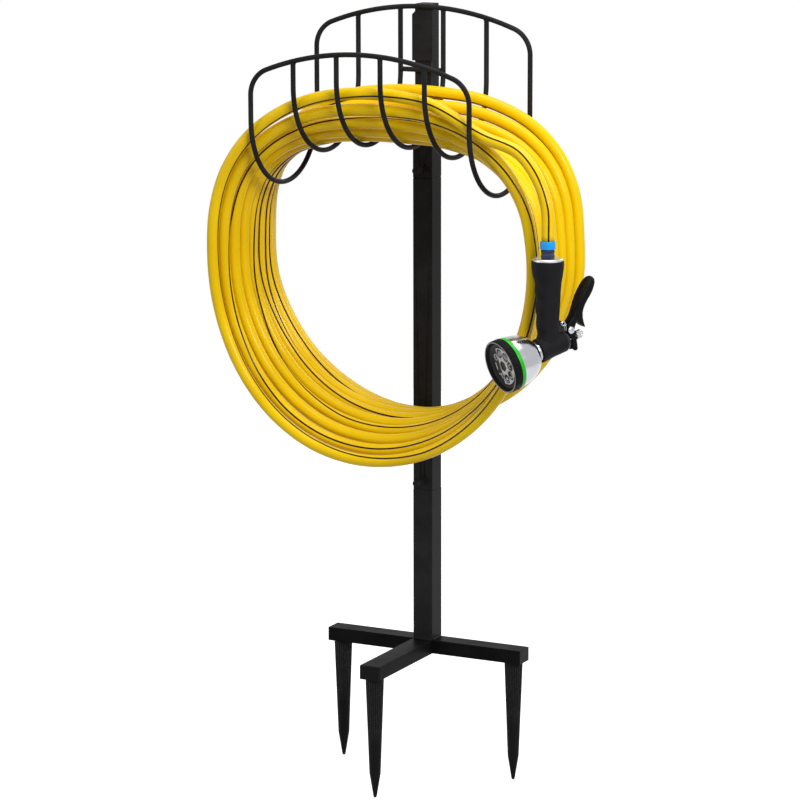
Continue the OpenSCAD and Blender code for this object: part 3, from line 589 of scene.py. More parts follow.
def skirt(centre, axis):
    """Rings round axis at centre: the radius is BEAD_R + BEAD_FLARE * (1 - cos t) and
    the height along axis is BEAD_H * sin t, for t from 0 to 90 degrees. Five low waves
    run round it."""
    side = unit(np.cross(axis, [0.3, 1.0, 0.2]))
    t = np.linspace(0, math.pi / 2, 6)[:, None, None]
    angle = ring_angles(20)[..., None]
    r = BEAD_R + BEAD_FLARE * (1 - np.cos(t)) + BEAD_WAVE * np.sin(5 * angle + centre[0])
    return (np.array(centre) + r * (np.cos(angle) * side + np.sin(angle) * np.cross(axis, side))
            + BEAD_H * np.sin(t) * np.array(axis))


def make_welds():
    """A rail is an arc of radius RAIL_R, so at x it is at crown - R + sqrt(R^2 - x^2)."""
    spots = [((x, y, crown - RAIL_R + math.sqrt(RAIL_R**2 - x * x) - BEAD_GAP), (0, 0, 1))
             for x in (np.arange(INNER_WIRES) - (INNER_WIRES - 1) / 2) * WIRE_STEP
             for y, crown in RAILS]
    spots += [((side * (WIRE_STEP / 2 - BEAD_GAP), CRADLE_BACK_Y, CROSS_WIRE_Z), (side, 0, 0))
              for side in (-1, 1)]
    for number, spot in enumerate(spots, 1):
        closed_rings(f"wire_weld_{number}", skirt(*spot), POWDER, "stand", "black_steel")


def seam_bead(name, start, end, radius):
    """A rope along a straight seam, swelling a little with the welder's steps."""
    way = np.subtract(end, start, dtype=float)
    length = np.linalg.norm(way)
    s = np.linspace(0, 1, int(length / SEAM_PITCH))
    along = np.broadcast_to(way / length, (len(s), 3))
    side = np.cross(along, [0.0, 0.0, 1.0])
    swell = 1 + SEAM_SWELL * np.abs(np.sin(s * length * math.pi / SEAM_STEP))
    size = radius * swell * np.minimum(1, 0.3 + 8 * np.minimum(s, 1 - s))
    rings = tube_rings(start + way * s[:, None], side, np.cross(side, along), size[:, None, None], 12)
    closed_rings(name, rings, POWDER, "stand", "black_steel")


make_welds()
SEAM_SIDES = (("left", -SEAM_OUT), ("right", SEAM_OUT))
for side, x in SEAM_SIDES:
    seam_bead(f"post_weld_{side}", (x, -SEAM_HALF, SEAM_Z), (x, SEAM_HALF, SEAM_Z), POST_SEAM_R)
seam_bead("post_weld_front", (-SEAM_HALF, -SEAM_OUT, SEAM_Z), (SEAM_HALF, -SEAM_OUT, SEAM_Z), POST_SEAM_R)
for side, x in SEAM_SIDES:
    seam_bead(f"arm_weld_{side}", (x, -SEAM_OUT, ARM_LOW), (x, -SEAM_OUT, ARM_HIGH), ARM_SEAM_R)

# %% [markdown]
# ## Turned pieces
# The spikes, the rings and the spray head are turned shapes: a profile of (radius,
# height) pairs carried round an axis. Blender's Screw modifier turns a profile too, but
# ribs and notches need a radius that changes with the angle, so it is worked out here.

# %% Turning a profile
CORNER_STEPS = 5


def rounded(profile, radius):
    """Each inner corner of a profile, cut back by radius and bridged by a curve: the
    point at t is the quadratic Bezier of the two cut points and the corner."""
    profile = np.asarray(profile, dtype=float)
    t = np.linspace(0, 1, CORNER_STEPS)[:, None]
    out = [profile[:1]]
    for before, corner, after in zip(profile[:-2], profile[1:-1], profile[2:]):
        sides = np.array([before, after]) - corner
        cut = min(radius, *np.linalg.norm(sides, axis=1) * 0.45)
        p, q = corner + unit(sides) * cut
        out.append((1 - t)**2 * p + 2 * t * (1 - t) * corner + t**2 * q)
    return np.vstack([*out, profile[-1:]])


def turned(profile, columns, ribs=None):
    """Rings of (radius cos a, radius sin a, height) for each profile point; ribs(radius,
    angle, height) gives the new radius."""
    profile = np.asarray(profile, dtype=float)
    angle = ring_angles(columns)
    radius = np.repeat(profile[:, :1], columns, axis=1)
    height = np.repeat(profile[:, 1:], columns, axis=1)
    if ribs is not None:
        radius = ribs(radius, angle, height)
    return np.stack([radius * np.cos(angle), radius * np.sin(angle), height], axis=2)


def near(radius, height, *steps):
    """Profile points as steps from (radius, height)."""
    return np.add(steps, (radius, height))


def straight(radius, low, high, count):
    """Profile points of one radius."""
    return np.stack([np.full(count, radius), np.linspace(low, high, count)], axis=1)


def each_vertex(piece, name, values):
    """A number on each vertex, which the piece's material reads by name."""
    numbers = piece.data.attributes.new(name, "FLOAT", "POINT")
    numbers.data.foreach_set("value", values.ravel())

# %% [markdown]
# ## Ground spikes
# Each spike is black plastic: a long taper, then a short steep point. A stud on top
# holds it in the bar. Its ribs are a cosine round the spike that fades out lower down.

# %% Spikes
SPIKE_LEN, SPIKE_TOP_R, SPIKE_MID_R, SPIKE_TIP_R = 175.0, 13.0, 8.0, 2.5
SPIKE_X, SPIKE_Y = 137.0, -165.0
STUD_R, STUD_H, COLLAR_H = 4, 9.5, 3
TAPER_LEN = SPIKE_LEN * 0.79
RIB_COUNT, RIB_DEPTH, RIB_LOW, RIB_HIGH = 24, 0.75, -78, -4
SPIKE_COLUMNS = RIB_COUNT * 8


def spike_ribs(radius, angle, height):
    fade = ramp(height - RIB_LOW, 8) * ramp(RIB_HIGH - height, 2)
    return radius - RIB_DEPTH * fade * (1 - (1 - waves(RIB_COUNT, angle)) ** 2)


def ribbed_plastic():
    """Black plastic whose rib crests are painted lighter grey, a painted highlight. A number on
    each vertex is 1 on a crest and 0 between, and a noise breaks the painted highlight up."""
    material = moulded_black("spike_plastic", grain=0.0012, gloss=0.55)
    tree, shader = wiring(material)
    painted_crest_highlight = add(tree, "Attribute", attribute_name="painted_crest_highlight").outputs["Fac"]
    patchy = spread(tree, object_noise(tree, 0.004, detail=4.0), 0.2, 1.0, 0.35, 0.6)
    painted_highlight = maths(tree, "MULTIPLY", painted_crest_highlight, patchy)
    black = shader.inputs["Base Color"].links[0].from_socket
    # The grey on the crests is a painted highlight.
    feed(shader, {"Base Color": two_colours(tree, painted_highlight, black, (0.04, 0.04, 0.0385))})
    return material


def make_spike(side, x, y):
    down = np.linspace(-COLLAR_H, -TAPER_LEN, 46)
    share = (-down - COLLAR_H) / (TAPER_LEN - COLLAR_H)
    taper = np.stack([SPIKE_TOP_R + (SPIKE_MID_R - SPIKE_TOP_R) * share, down], axis=1)
    head = rounded([(0.3, STUD_H), (STUD_R, STUD_H), (STUD_R, 0), (SPIKE_TOP_R, 0),
                    (SPIKE_TOP_R, -COLLAR_H)], 0.7)
    tip = rounded([(SPIKE_MID_R, -TAPER_LEN - 0.5), (SPIKE_TIP_R, -SPIKE_LEN + 2.5),
                   (1.75, -SPIKE_LEN + 0.75), (0.2, -SPIKE_LEN)], 1.0)
    profile = np.vstack([head[:-1], taper, tip])[::-1]
    piece = closed_rings(f"ribbed_spike_{side}", turned(profile, SPIKE_COLUMNS, spike_ribs) + [x, y, 0],
                         SPIKE_PLASTIC, "stand", "black_plastic", f"spike_{side}", sharp=50)
    height = profile[:, 1:]
    # Painted highlight: rib crests from about 95 mm to 6 mm below the bar are painted lighter grey.
    painted_highlight = ramp(height + 95, 20) * (height < -6)
    each_vertex(piece, "painted_crest_highlight", painted_highlight * (1 - waves(RIB_COUNT, ring_angles(SPIKE_COLUMNS))) ** 5)


SPIKE_PLASTIC = ribbed_plastic()
make_spike("left", -SPIKE_X, 0.0)
make_spike("right", SPIKE_X, 0.0)
make_spike("front", 0.0, SPIKE_Y)

# %% [markdown]
# ## The nozzle
# The nozzle hangs with its handle upright and its barrel falling toward the viewer's
# left. It has two places, the same as in the CAD source: the handle's, turned about the
# upright axis, and the barrel's, whose own Z runs forward along the barrel.

# %% Handle and barrel places
NOZZLE_TURN = math.radians(-33)
BARREL_TILT = math.radians(90 + 15.5)
CORE_R = 12.0
PIVOT = np.array([0, 32.5, BARREL_Z + 21.5])


def spun(a, b, angle):
    """(a, b) turned from a toward b: (a cos - b sin, a sin + b cos)."""
    c, s = math.cos(angle), math.sin(angle)
    return c * a - s * b, s * a + c * b


def at_handle(points):
    """Turn about Z, then move to the handle's axis."""
    x, y = spun(points[..., 0], points[..., 1], NOZZLE_TURN)
    return np.stack([x + NOZZLE_X, y + NOZZLE_Y, points[..., 2]], axis=-1)


def at_barrel(points):
    """Tip about X so that local Z points forward and down, lift, then as the handle."""
    y, z = spun(points[..., 1], points[..., 2], BARREL_TILT)
    return at_handle(np.stack([points[..., 0], y, z + BARREL_Z], axis=-1))


def band(name, profile, columns, *where, ribs=None, sharp):
    """A ring with a hole, on the barrel: the profile is a closed loop, so its last ring
    joins its first."""
    rings = at_barrel(turned(profile, columns, ribs))
    faces = grid_faces(len(rings) + 1, columns) % (len(rings) * columns)
    return new_piece(name, rings.reshape(-1, 3), faces, *where, sharp=sharp)

# %% [markdown]
# ### Nozzle finishes
# Chrome is metal with little roughness, varied by a faint haze. The casting under the
# rubber is black enamel, and bare satin silver only on the flange. The two rings and
# the nut are glossy dyed plastic, and the grip is soft black rubber with a fine grain.

# %% Nozzle finishes
def chrome(name="chrome", roughness=0.12, colour=(0.46, 0.47, 0.50)):
    return mottled(name, colour, None, (0.006, 4.0), (roughness, roughness * 2.2),
                   (0.004, 1.0, 0.02, 0.4), metallic=1.0)


def dyed_plastic(name, dark, light, coat=0.15):
    return mottled(name, dark, light, (0.008, 2.0), (0.3,), (0.0012, 1.0, 0.015, 0.5),
                   coat=coat, specular=0.25)


def brass():
    """Fine turning marks go round the upright axis."""
    material = mottled("turned_brass", (0.70, 0.50, 0.20), None, (0.005, 3.0), (0.2, 0.38), metallic=1.0)
    tree, shader = wiring(material)
    lines = add(tree, "TexWave", {"Scale": 900.0, "Distortion": 0.6, "Vector": object_place(tree)},
                bands_direction="Z")
    dents(tree, shader, lines.outputs["Fac"], 0.02, 0.5)
    return material


def valve_body():
    """A step in height, at the flange's underside, chooses enamel or bare silver."""
    enamel = (0.008, 0.008, 0.0092)
    material = mottled("valve_body", enamel, None, (0.004, 4.0), (0.26, 0.42),
                       (0.0012, 1.5, 0.03, 0.5), specular=0.3)
    tree, shader = wiring(material)
    z = add(tree, "SeparateXYZ", {"Vector": object_place(tree)}).outputs["Z"]
    bare = spread(tree, z, 0.0, 1.0, (FLANGE_Z - 0.3) * MM, (FLANGE_Z - 0.1) * MM)
    feed(shader, {"Base Color": two_colours(tree, bare, enamel, (0.52, 0.52, 0.54)), "Metallic": bare})
    return material


CHROME = chrome()
BLUE = dyed_plastic("blue_ring", (0.006, 0.25, 0.66), (0.010, 0.33, 0.80))
NAVY = dyed_plastic("navy_nut", (0.010, 0.013, 0.045), (0.020, 0.026, 0.085))
GREEN = dyed_plastic("green_ring", (0.005, 0.33, 0.002), (0.009, 0.47, 0.003), coat=0.05)
RUBBER = mottled("grip_rubber", (0.0055, 0.0055, 0.0068), (0.0100, 0.0102, 0.0122), (0.012, 4.0),
                 (0.55, 0.7), (0.0007, 1.5, 0.06, 0.7), specular=0.08)
give(brass(), "tap_ferrule", "tap_nut")
give(valve_body(), "nozzle_core")
give(CHROME, "gland_nut", "valve_stem", "trigger_pin")
soften(0.5, 2, "tap_ferrule")
soften(0.4, 2, "tap_nut", "gland_nut")
soften(0.8, 2, "nozzle_core")

# %% [markdown]
# ### Blue ring and ribbed nut
# A bright blue ring grips the end of the hose, and below it a navy nut screws on the
# handle. The nut has two belts of fine upright ribs with a plain groove between.

# %% Ring and nut
BLUE_R, NUT_R, NUT_CHAMFER_R = 10.5, 9.2, 8.4
NUT_RIBS, NUT_RIB_DEPTH, BELT_HALF = 28, 0.55, 2.2
BELTS = (3.4, 8.6)


def make_ferrule():
    low, high = NUT_Z + HOSE_NUT_H, FERRULE_Z
    profile = rounded([(0.3, low), (BLUE_R, low), (BLUE_R, high), (8.7, high), (8.6, high - 0.4),
                       (0.3, high - 0.4)], 1.3)
    closed_rings("blue_ring", at_handle(turned(profile, 64)), BLUE, "hose", "blue_plastic",
                 "hose_ferrule", sharp=40)


def nut_ribs(radius, angle, height):
    belt = sum(np.abs(height - NUT_Z - middle) < BELT_HALF for middle in BELTS)
    return radius - NUT_RIB_DEPTH * belt * (radius > 8) * waves(NUT_RIBS, angle) ** 2


def make_hose_nut():
    low, high = NUT_Z + 0.3, NUT_Z + HOSE_NUT_H - 0.3
    waist = straight(NUT_R, low + 0.8, high - 0.8, 30)
    waist[:, 0] -= 0.8 * np.exp(-((waist[:, 1] - (low + high) / 2) / 0.7) ** 2)
    profile = np.vstack([[(0.3, low), (NUT_CHAMFER_R, low)], waist, [(NUT_CHAMFER_R, high), (0.3, high)]])
    closed_rings("ribbed_nut", at_handle(turned(profile, NUT_RIBS * 8, nut_ribs)), NAVY, "hose_nut",
                 "navy_plastic", "hose_nut", sharp=60)


make_ferrule()
make_hose_nut()

# %% [markdown]
# ### The grip
# The rubber grip is one moulding over the handle and the barrel, with shallow finger
# grooves in front. Two closed skins are joined by a voxel remesh and then smoothed, so
# that the fillet between them forms by itself, as wax does round a joint.

# %% Grip
GRIP_Z = np.array([-6, 8, 18, 32, 46, 60, 74, 86, 96, 104, 110, 116.4])
GRIP_HALF_DEPTH = np.array([14, 15.2, 14.9, 15.3, 16.2, 16.9, 17.5, 18.2, 19.6, 20.6, 21.0, 21.0])
GRIP_HALF_WIDTH = np.array([13.5, 13.8, 13.4, 13.6, 14.2, 14.8, 15.4, 16.4, 18.8, 20.2, 20.8, 20.8])
GROOVES = ((19.0, 2.6), (43.0, 1.9), (65.0, 2.6), (86.0, 2.4))
GROOVE_WIDTH, OVAL_POWER, SMOOTH_OVER = 7.0, 2.3, 9


def joined(name, skins, voxel_mm, relax_steps, *where):
    """Closed skins in one mesh, melted by a voxel remesh and relaxed. Each skin's
    volume decides which way its faces turn, so that all of them point outwards."""
    points, faces, caps, start = [], [], [], 0
    for rings in skins:
        rows, columns, _ = rings.shape
        quads, ends, flat = grid_faces(rows, columns), end_caps(rows, columns), rings.reshape(-1, 3)
        p = flat[quads] - flat.mean(axis=0)
        if np.einsum("ij,ij->i", p[:, 0], np.cross(p[:, 1], p[:, 2])).sum() < 0:
            quads, ends = quads[:, ::-1], [end[::-1] for end in ends]
        points.append(flat)
        faces.append(quads + start)
        caps += [end + start for end in ends]
        start += len(flat)
    piece = new_piece(name, np.vstack(points), np.vstack(faces), *where, caps=caps)
    modify(piece, "join", "REMESH", mode="VOXEL", voxel_size=voxel_mm * MM, use_smooth_shade=True)
    modify(piece, "relax", "SMOOTH", factor=0.5, iterations=relax_steps)


def handle_skin():
    """Rings of a superellipse |x|^2.3 + |y|^2.3, its half width and depth smooth in z.
    A bell curve at each groove takes the front back by the groove's depth."""
    z = np.linspace(GRIP_Z[0], GRIP_Z[-1], 120)
    padded = [np.pad(np.interp(z, GRIP_Z, half), SMOOTH_OVER // 2, mode="edge")
              for half in (GRIP_HALF_DEPTH, GRIP_HALF_WIDTH)]
    depth, width = [np.convolve(half, np.ones(SMOOTH_OVER) / SMOOTH_OVER, mode="valid")[:, None]
                    for half in padded]
    z, a = z[:, None], ring_angles(96)
    y = depth * signed_power(np.sin(a), 2 / OVAL_POWER)
    for height, groove in GROOVES:
        y = y + groove * np.clip(-np.sin(a), 0, 1) ** 1.5 * np.exp(-((z - height) / GROOVE_WIDTH) ** 2)
    return np.dstack(np.broadcast_arrays(width * signed_power(np.cos(a), 2 / OVAL_POWER), y, z + BARREL_Z))


BARREL_SKIN = turned(rounded([(0.5, -26.5), (14.8, -26.5), (15.2, -5), (16.9, 15.8), (0.5, 15.8)], 1.6), 72)
joined("rubber_grip", (at_handle(handle_skin()), at_barrel(BARREL_SKIN)), 0.8, 14,
       RUBBER, "hose", "grip_rubber", "nozzle_grip")

# %% [markdown]
# ### Neck ring, bell and green ring
# The spray head starts with a bright collar. A chrome bell then swells out of it,
# nearly along the arc of an ellipse, steep at first and flat at the rim. A green ring
# covers the rim and separates the fixed bell from the dial that turns.

# %% Spray head body
BEZEL_R, BEZEL_L, FACE_REACH, RING_T = 36.4, 12.0, 76.0, 3.2
COLLAR_START, BELL_START = 16, 20.0
BELL_END = FACE_REACH - BEZEL_L - 3.5
BEZEL_START = BELL_END + RING_T + 0.3
BORE_R, HUB_R, HUB_LEN = 0.3, 3.0, 7


def make_bell():
    """Outside, radius = core + (rim - core) * sqrt(1 - (1 - u)^2.1)^1.15 for u from 0
    to 1 along the bell."""
    u = np.linspace(0, 1, 60)
    rim = BEZEL_R - 1.2
    outside = np.stack([CORE_R + (rim - CORE_R) * np.sqrt(1 - (1 - u) ** 2.1) ** 1.15,
                        BELL_START + u * (BELL_END - BELL_START)], axis=1)
    profile = np.vstack([[(BORE_R, BELL_START)], outside,
                         [(rim - 0.6, BELL_END), (HUB_R, BELL_END), (HUB_R, BELL_END + HUB_LEN),
                          (BORE_R, BELL_END + HUB_LEN)]])
    closed_rings("chrome_bell", at_barrel(turned(profile, 128)), CHROME, "hose", "chrome_metal",
                 "spray_bell", sharp=40)


def make_collar():
    inner, outer = CORE_R + 0.06, CORE_R + 2
    loop = rounded([(inner, COLLAR_START), (outer, COLLAR_START), (outer, BELL_START),
                    (inner, BELL_START), (inner, COLLAR_START)], 0.9)
    band("neck_collar_ring", loop[1:-1], 96, CHROME, "hose", "chrome_metal", "neck_ring", sharp=60)


def green_marks(radius, angle, height):
    """Eight small nicks round the ring, one for each spray pattern."""
    nick = np.clip(1 - np.abs((angle % (math.pi / 4)) - math.pi / 8) / 0.02, 0, 1)
    return radius - 0.5 * nick * (radius > BEZEL_R - 3)


def make_green():
    loop = rounded(near(BEZEL_R - 0.6, BELL_END, (-5, 1.6), (-5, -2.2), (0, -2.2), (0, RING_T),
                        (-5, RING_T), (-5, 1.6)), 0.6)
    band("green_band", loop[:-1], 480, GREEN, "hose", "green_plastic", "green_ring",
         ribs=green_marks, sharp=50)


make_bell()
make_collar()
make_green()

# %% [markdown]
# ### The dial
# The black bezel has a rounded front lip, a fine ridge behind it and short grip nicks.
# Inside sits the spray face: a sunk black plate with a silver web round the middle pocket
# and five of the eight round it; the left side, with the other three, stays black as
# painted shade. It is a disc of rings whose height and silver share come from distances
# to simple figures, such as a circle or a bar.

# %% Bezel
BEZEL_NICKS, NICK_DEPTH, NICK_HALF, NICK_FROM, NICK_TO = 18, 0.9, 0.022, 3, 8.5
BEZEL_WALL = 5.45


def bezel_nicks(radius, angle, height):
    local = height - BEZEL_START
    inside = ramp(local - NICK_FROM, 0.8) * ramp(NICK_TO - local, 0.8) * (radius > BEZEL_R - 2.2)
    step = FULL_TURN / BEZEL_NICKS
    nick = np.clip(1.4 - np.abs((angle % step) - step / 2) / NICK_HALF, 0, 1)
    return radius - NICK_DEPTH * nick * inside


def make_bezel():
    w, r, bore = BEZEL_START, BEZEL_R, -BEZEL_WALL
    side = straight(r, w + 1.2, w + 9.6, 24)
    side[:, 0] -= 0.5 * np.exp(-((side[:, 1] - (w + 9.2)) / 0.35) ** 2)
    lip = rounded(near(r, w, (0, 9.8), (-0.6, BEZEL_L), (-2.6, BEZEL_L), (-3.2, 10.8), (bore, 8.2),
                       (bore, 0)), 0.7)
    back = rounded(near(r, w, (bore, 0.2), (bore, 0), (0, 0), (0, 1.1)), 0.5)
    band("dial_bezel", np.vstack([back[1:], side, lip[:-1]]), 540, MOULDED, "dial", "black_plastic",
         "spray_bezel", ribs=bezel_nicks, sharp=50)


def make_dial_lip_highlight():
    """A thin grey ring on the bezel's front lip: a painted highlight where its edge catches light."""
    loop = rounded(near(BEZEL_R - 1.6, BEZEL_START + BEZEL_L, (-0.9, -0.5), (-0.9, 0.12), (0.7, 0.12),
                        (0.7, -0.5), (-0.9, -0.5)), 0.2)
    band("dial_lip_painted_highlight", loop[:-1], 180, chrome("lip_painted_highlight", 0.4, (0.20, 0.20, 0.21)), "dial", "black_plastic",
         sharp=60)


make_bezel()
make_dial_lip_highlight()

# %% Spray face
FACE_R = BEZEL_R - 5.6
FACE_W = BEZEL_START + 7.6
POCKET_R, POCKET_RING = 6.2, 17.8
POCKET_TURNS = np.radians(np.arange(8, 360, 45))


def bar(x, y, half_length, half_width, turn):
    """Distance to a round-ended bar along the direction turn."""
    along, across = spun(x, y, -turn)
    return np.hypot(np.maximum(np.abs(along) - half_length, 0), across) - half_width


def insert_shape(k, x, y):
    """Distance to the silver figure in pocket k; negative inside it. x points outward
    from the middle of the face and y along the ring of pockets."""
    r = np.hypot(x, y)
    beads = np.hypot((x + 1.1) % 2.2 - 1.1, (y + 1.1) % 2.2 - 1.1) - 0.8
    return [
        np.minimum(np.maximum(np.abs(r - 3.0) - 0.7, x), bar(x - 1.6, y - 2.6, 1.4, 0.7, 0.5)),
        np.maximum(-beads, np.hypot(x * 1.3, y) - 5.0),
        np.maximum(np.hypot(x * 1.35, y) - 5.0, -beads),
        np.minimum(np.abs(r - 3.9) - 0.75, r - 1.1),
        bar(x, y, 4.3, 0.95, math.pi / 2),
        np.minimum(bar(x, y - 1.8, 3.0, 0.9, 0.9), bar(x, y + 1.8, 3.0, 0.9, -0.9)),
        np.minimum(r - 2.2, np.maximum(np.abs(r - 4.2) - 0.5, -x)),
        np.maximum(np.abs(r - 3.6) - 0.8, -x - 1.4),
    ][k]


def soft(distance, width):
    """1 inside a figure and 0 outside it, over a border of this width."""
    return np.clip(0.5 - distance / width, 0, 1)


def face_fields(x, y):
    """Height in millimetres and silver share of the face at (x, y). The silver plate stops at
    about x = -7.5 and its outer ring at x = -6, so pockets 3, 4 and 5 have no web: that
    black left side is painted shade."""
    r = np.hypot(x, y)
    hexagon = np.max([spun(x, y, -a)[0] for a in ring_angles(6)[0] + 0.3], axis=0) - 6.6
    pockets, inserts = hexagon, np.full_like(x, 99.0)
    for k, a in enumerate(POCKET_TURNS):
        lx, ly = spun(x - POCKET_RING * math.cos(a), y - POCKET_RING * math.sin(a), -a)
        pockets = np.minimum(pockets, np.hypot(lx, ly) - POCKET_R)
        inserts = np.minimum(inserts, insert_shape(k, lx, ly))
    # Painted shade: the silver stops on the left side of the face.
    plate = np.maximum(r - 25.6, -7.5 - spun(x, y, -0.1)[0])
    web = np.max([soft(-pockets, 0.5) * soft(plate, 0.5),
                  soft(np.maximum(np.abs(r - 25.4) - 0.5, -6 - x), 0.5),
                  soft(np.abs(hexagon - 0.6) - 0.55, 0.4)], axis=0)
    insert = soft(inserts, 0.45) * soft(pockets, 0.5)
    rim = soft(26.4 - r, 0.6) * (0.3 + 1.7 * ramp(r - 26.4, 5))
    return -1.6 + 1.3 * web + 1.1 * insert + rim, np.clip(web + insert, 0, 1)


def spray_silver():
    """Black plastic with silver-plated figures: the share comes from the mesh."""
    black = (0.005, 0.005, 0.006)
    material = mottled("spray_face", black, None, (0.002, 2.0), (0.22, 0.38), specular=0.12)
    tree, shader = wiring(material)
    share = add(tree, "Attribute", attribute_name="silver").outputs["Fac"]
    feed(shader, {"Base Color": two_colours(tree, share, black, (0.40, 0.41, 0.44)),
                  "Metallic": spread(tree, share, 0.0, 0.55, 0.0, 1.0)})
    return material


def make_face():
    radius, angle = np.linspace(0.02, FACE_R, 130)[:, None], ring_angles(300)
    x, y = radius * np.cos(angle), radius * np.sin(angle)
    height, silver = face_fields(x, y)
    front = np.dstack([x, y, FACE_W + np.minimum(height, 0.9)])
    back = turned([(FACE_R, FACE_W - 4), (7, FACE_W - 4), (7, BELL_END + 0.4), (3.4, BELL_END + 0.4),
                   (3.4, BELL_END + HUB_LEN + 0.4), (0.02, BELL_END + HUB_LEN + 0.4)], angle.size)
    rings = at_barrel(np.concatenate([front, back]))
    face = closed_rings("spray_plate", rings[::-1], spray_silver(), "dial", "black_plastic", "spray_face",
                        sharp=35)
    each_vertex(face, "silver", np.concatenate([silver, np.zeros(back.shape[:2])])[::-1])


make_face()

# %% [markdown]
# ### The trigger
# The trigger is one black moulding: a dished blade for the palm, a spur behind it and
# two curved fingers, bridged below, that pull the valve stem. It could be cut out of a
# block with booleans, but soft mouldings are easier as skins over rings: each ring lies
# between a front and a back point of the side view, and `joined` melts them together.

# %% Trigger
# Each row of BLADE and SPUR: front y and z, back y and z, half width. Each row of
# FINGER: y and z of its middle, half width. All in millimetres from the pivot.
BLADE = [(1, 13, 9, 11, 8), (3, 19, 17, 14, 8), (5, 24, 19.5, 20, 8), (7.5, 30, 20.6, 26, 8.4),
         (10, 36, 22.5, 32, 9.4), (13, 43, 26, 38.5, 10), (16, 49, 30, 43.6, 10), (20, 55.5, 33.6, 49.5, 10),
         (24, 61.3, 36.1, 56, 9.8), (27.5, 65.3, 37.7, 61, 8.8), (31, 68.2, 37.9, 65.5, 6.6),
         (34, 69.4, 36.2, 68.6, 2.6)]
SPUR = [(8, 14, 20, 24, 7.5), (12, 10.6, 20, 15, 7.4), (16.4, 6.0, 21.4, 9.2, 7.0),
        (20.4, 2.9, 23.0, 4.6, 6.4), (23.0, 1.9, 24.0, 2.5, 5.8)]
FINGER = [(7, 15, 4.5), (4, 10, 5.2), (1, 4.5, 5.9), (0.4, 0, 6.2), (0.6, -3, 5.4), (3.0, -6, 4.0),
          (4.7, -8.6, 3.5), (5.9, -14, 4.0), (6.8, -20, 4.1), (8.1, -26, 3.6), (8.4, -28.2, 2.0)]
FINGER_X, FINGER_HALF_T = 5.85, 1.5
BRIDGE_HALF, BRIDGE_Y, BRIDGE_Z = 5.5, 8.3, -25.4


def stepped(table, rows):
    """The table's row number at each of rows even steps, and every column there."""
    t = np.linspace(0, len(table) - 1, rows)
    return t, np.stack([np.interp(t, np.arange(len(table)), column) for column in zip(*table)], axis=1)


def between(table, rows, columns, dish=0.0):
    """Rings of a squared oval. At angle a the width is half * |cos a|^0.5 and the depth
    goes from front to back by (1 - |sin a|^0.5 signed) / 2. dish sinks the middle of
    the front by that many millimetres times (1 - (width / 0.8 half)^2)."""
    t, row = stepped(table, rows)
    front, back, wide = row[:, None, 0:2], row[:, None, 2:4], row[:, 4:]
    a = ring_angles(columns)
    w = wide * signed_power(np.cos(a), 0.5)
    q = (0.5 - 0.5 * signed_power(np.sin(a), 0.5))[..., None]
    thick = np.linalg.norm(back - front, axis=2, keepdims=True)
    fade = ramp(np.minimum(t - 2.0, len(table) - 1.6 - t), 2.0)[:, None]
    sink = dish * fade * np.clip(1 - (w / (0.8 * wide)) ** 2, 0, 1) * (np.sin(a) > 0.3)
    return np.dstack([w, front + (back - front) * (q + sink[..., None] / thick)]) + PIVOT


def finger_rings(sign):
    """A flat finger beside the lug: the path in the side view, its half width measured
    square to the path, and 3 mm thick with rounded edges."""
    row = stepped(FINGER, 60)[1]
    along = unit(np.gradient(row[:, :2], axis=0))
    square = np.stack([-along[:, 1], along[:, 0]], axis=1)[:, None, :]
    a = ring_angles(28)
    reach = row[:, 2:] * signed_power(np.cos(a), 0.6)
    w = sign * (FINGER_X + FINGER_HALF_T * signed_power(np.sin(a), 0.6))
    return np.dstack([np.broadcast_to(w, reach.shape), row[:, None, :2] + reach[..., None] * square]) + PIVOT


def bridge():
    """A short oval bar from finger to finger."""
    a, w = ring_angles(32), np.linspace(-BRIDGE_HALF, BRIDGE_HALF, 12)[:, None]
    return np.dstack(np.broadcast_arrays(w, BRIDGE_Y + 3.0 * np.cos(a), BRIDGE_Z + 2.4 * np.sin(a))) + PIVOT


TRIGGER_SKINS = (between(BLADE, 90, 72, dish=2.4), between(SPUR, 40, 48), finger_rings(1), finger_rings(-1),
                 bridge())
joined("trigger_lever", [at_handle(skin) for skin in TRIGGER_SKINS], 0.5, 5,
       moulded_black("trigger_black", grain=0.0009, gloss=0.42), "trigger", "black_plastic", "trigger")

# %% [markdown]
# ### Pivot, spring and flow knob
# The pivot is a rivet with two domed heads, a wire spring beside the lug brings the
# trigger back, and a ribbed knob on the end of the valve stem sets the flow.

# %% Pivot, spring and knob
RIVET_R, RIVET_RISE, RIVET_X = 5.0, 2.2, 7.65
SPRING_TURNS, SPRING_R, SPRING_WIRE_R, SPRING_PITCH = 4.0, 2.7, 0.45, 0.98
SPRING_AT = (4.75, 20.6, 531.0)
KNOB_R, KNOB_BACK, KNOB_FRONT = 6.0, -54.0, -45.8
KNOB_RIBS, KNOB_RIB_DEPTH = 14, 0.75


def make_rivets():
    """Domes: height = 2.2 * sqrt(1 - (radius / 5)^2) over a short straight edge."""
    a = np.linspace(0, math.pi / 2, 14)
    dome = np.vstack([[(0.05, 0.0), (RIVET_R - 0.2, 0.0), (RIVET_R, 0.2)],
                      np.stack([RIVET_R * np.cos(a) + 0.001, 0.4 + RIVET_RISE * np.sin(a)], axis=1)])
    head = turned(dome, 48)[..., [2, 0, 1]] + [RIVET_X, 0, 0]
    for name, side in (("near", 1), ("far", -1)):
        closed_rings(f"rivet_head_{name}", at_handle(head * [side, side, 1] + PIVOT), CHROME, "hose",
                     "chrome_metal", sharp=50)


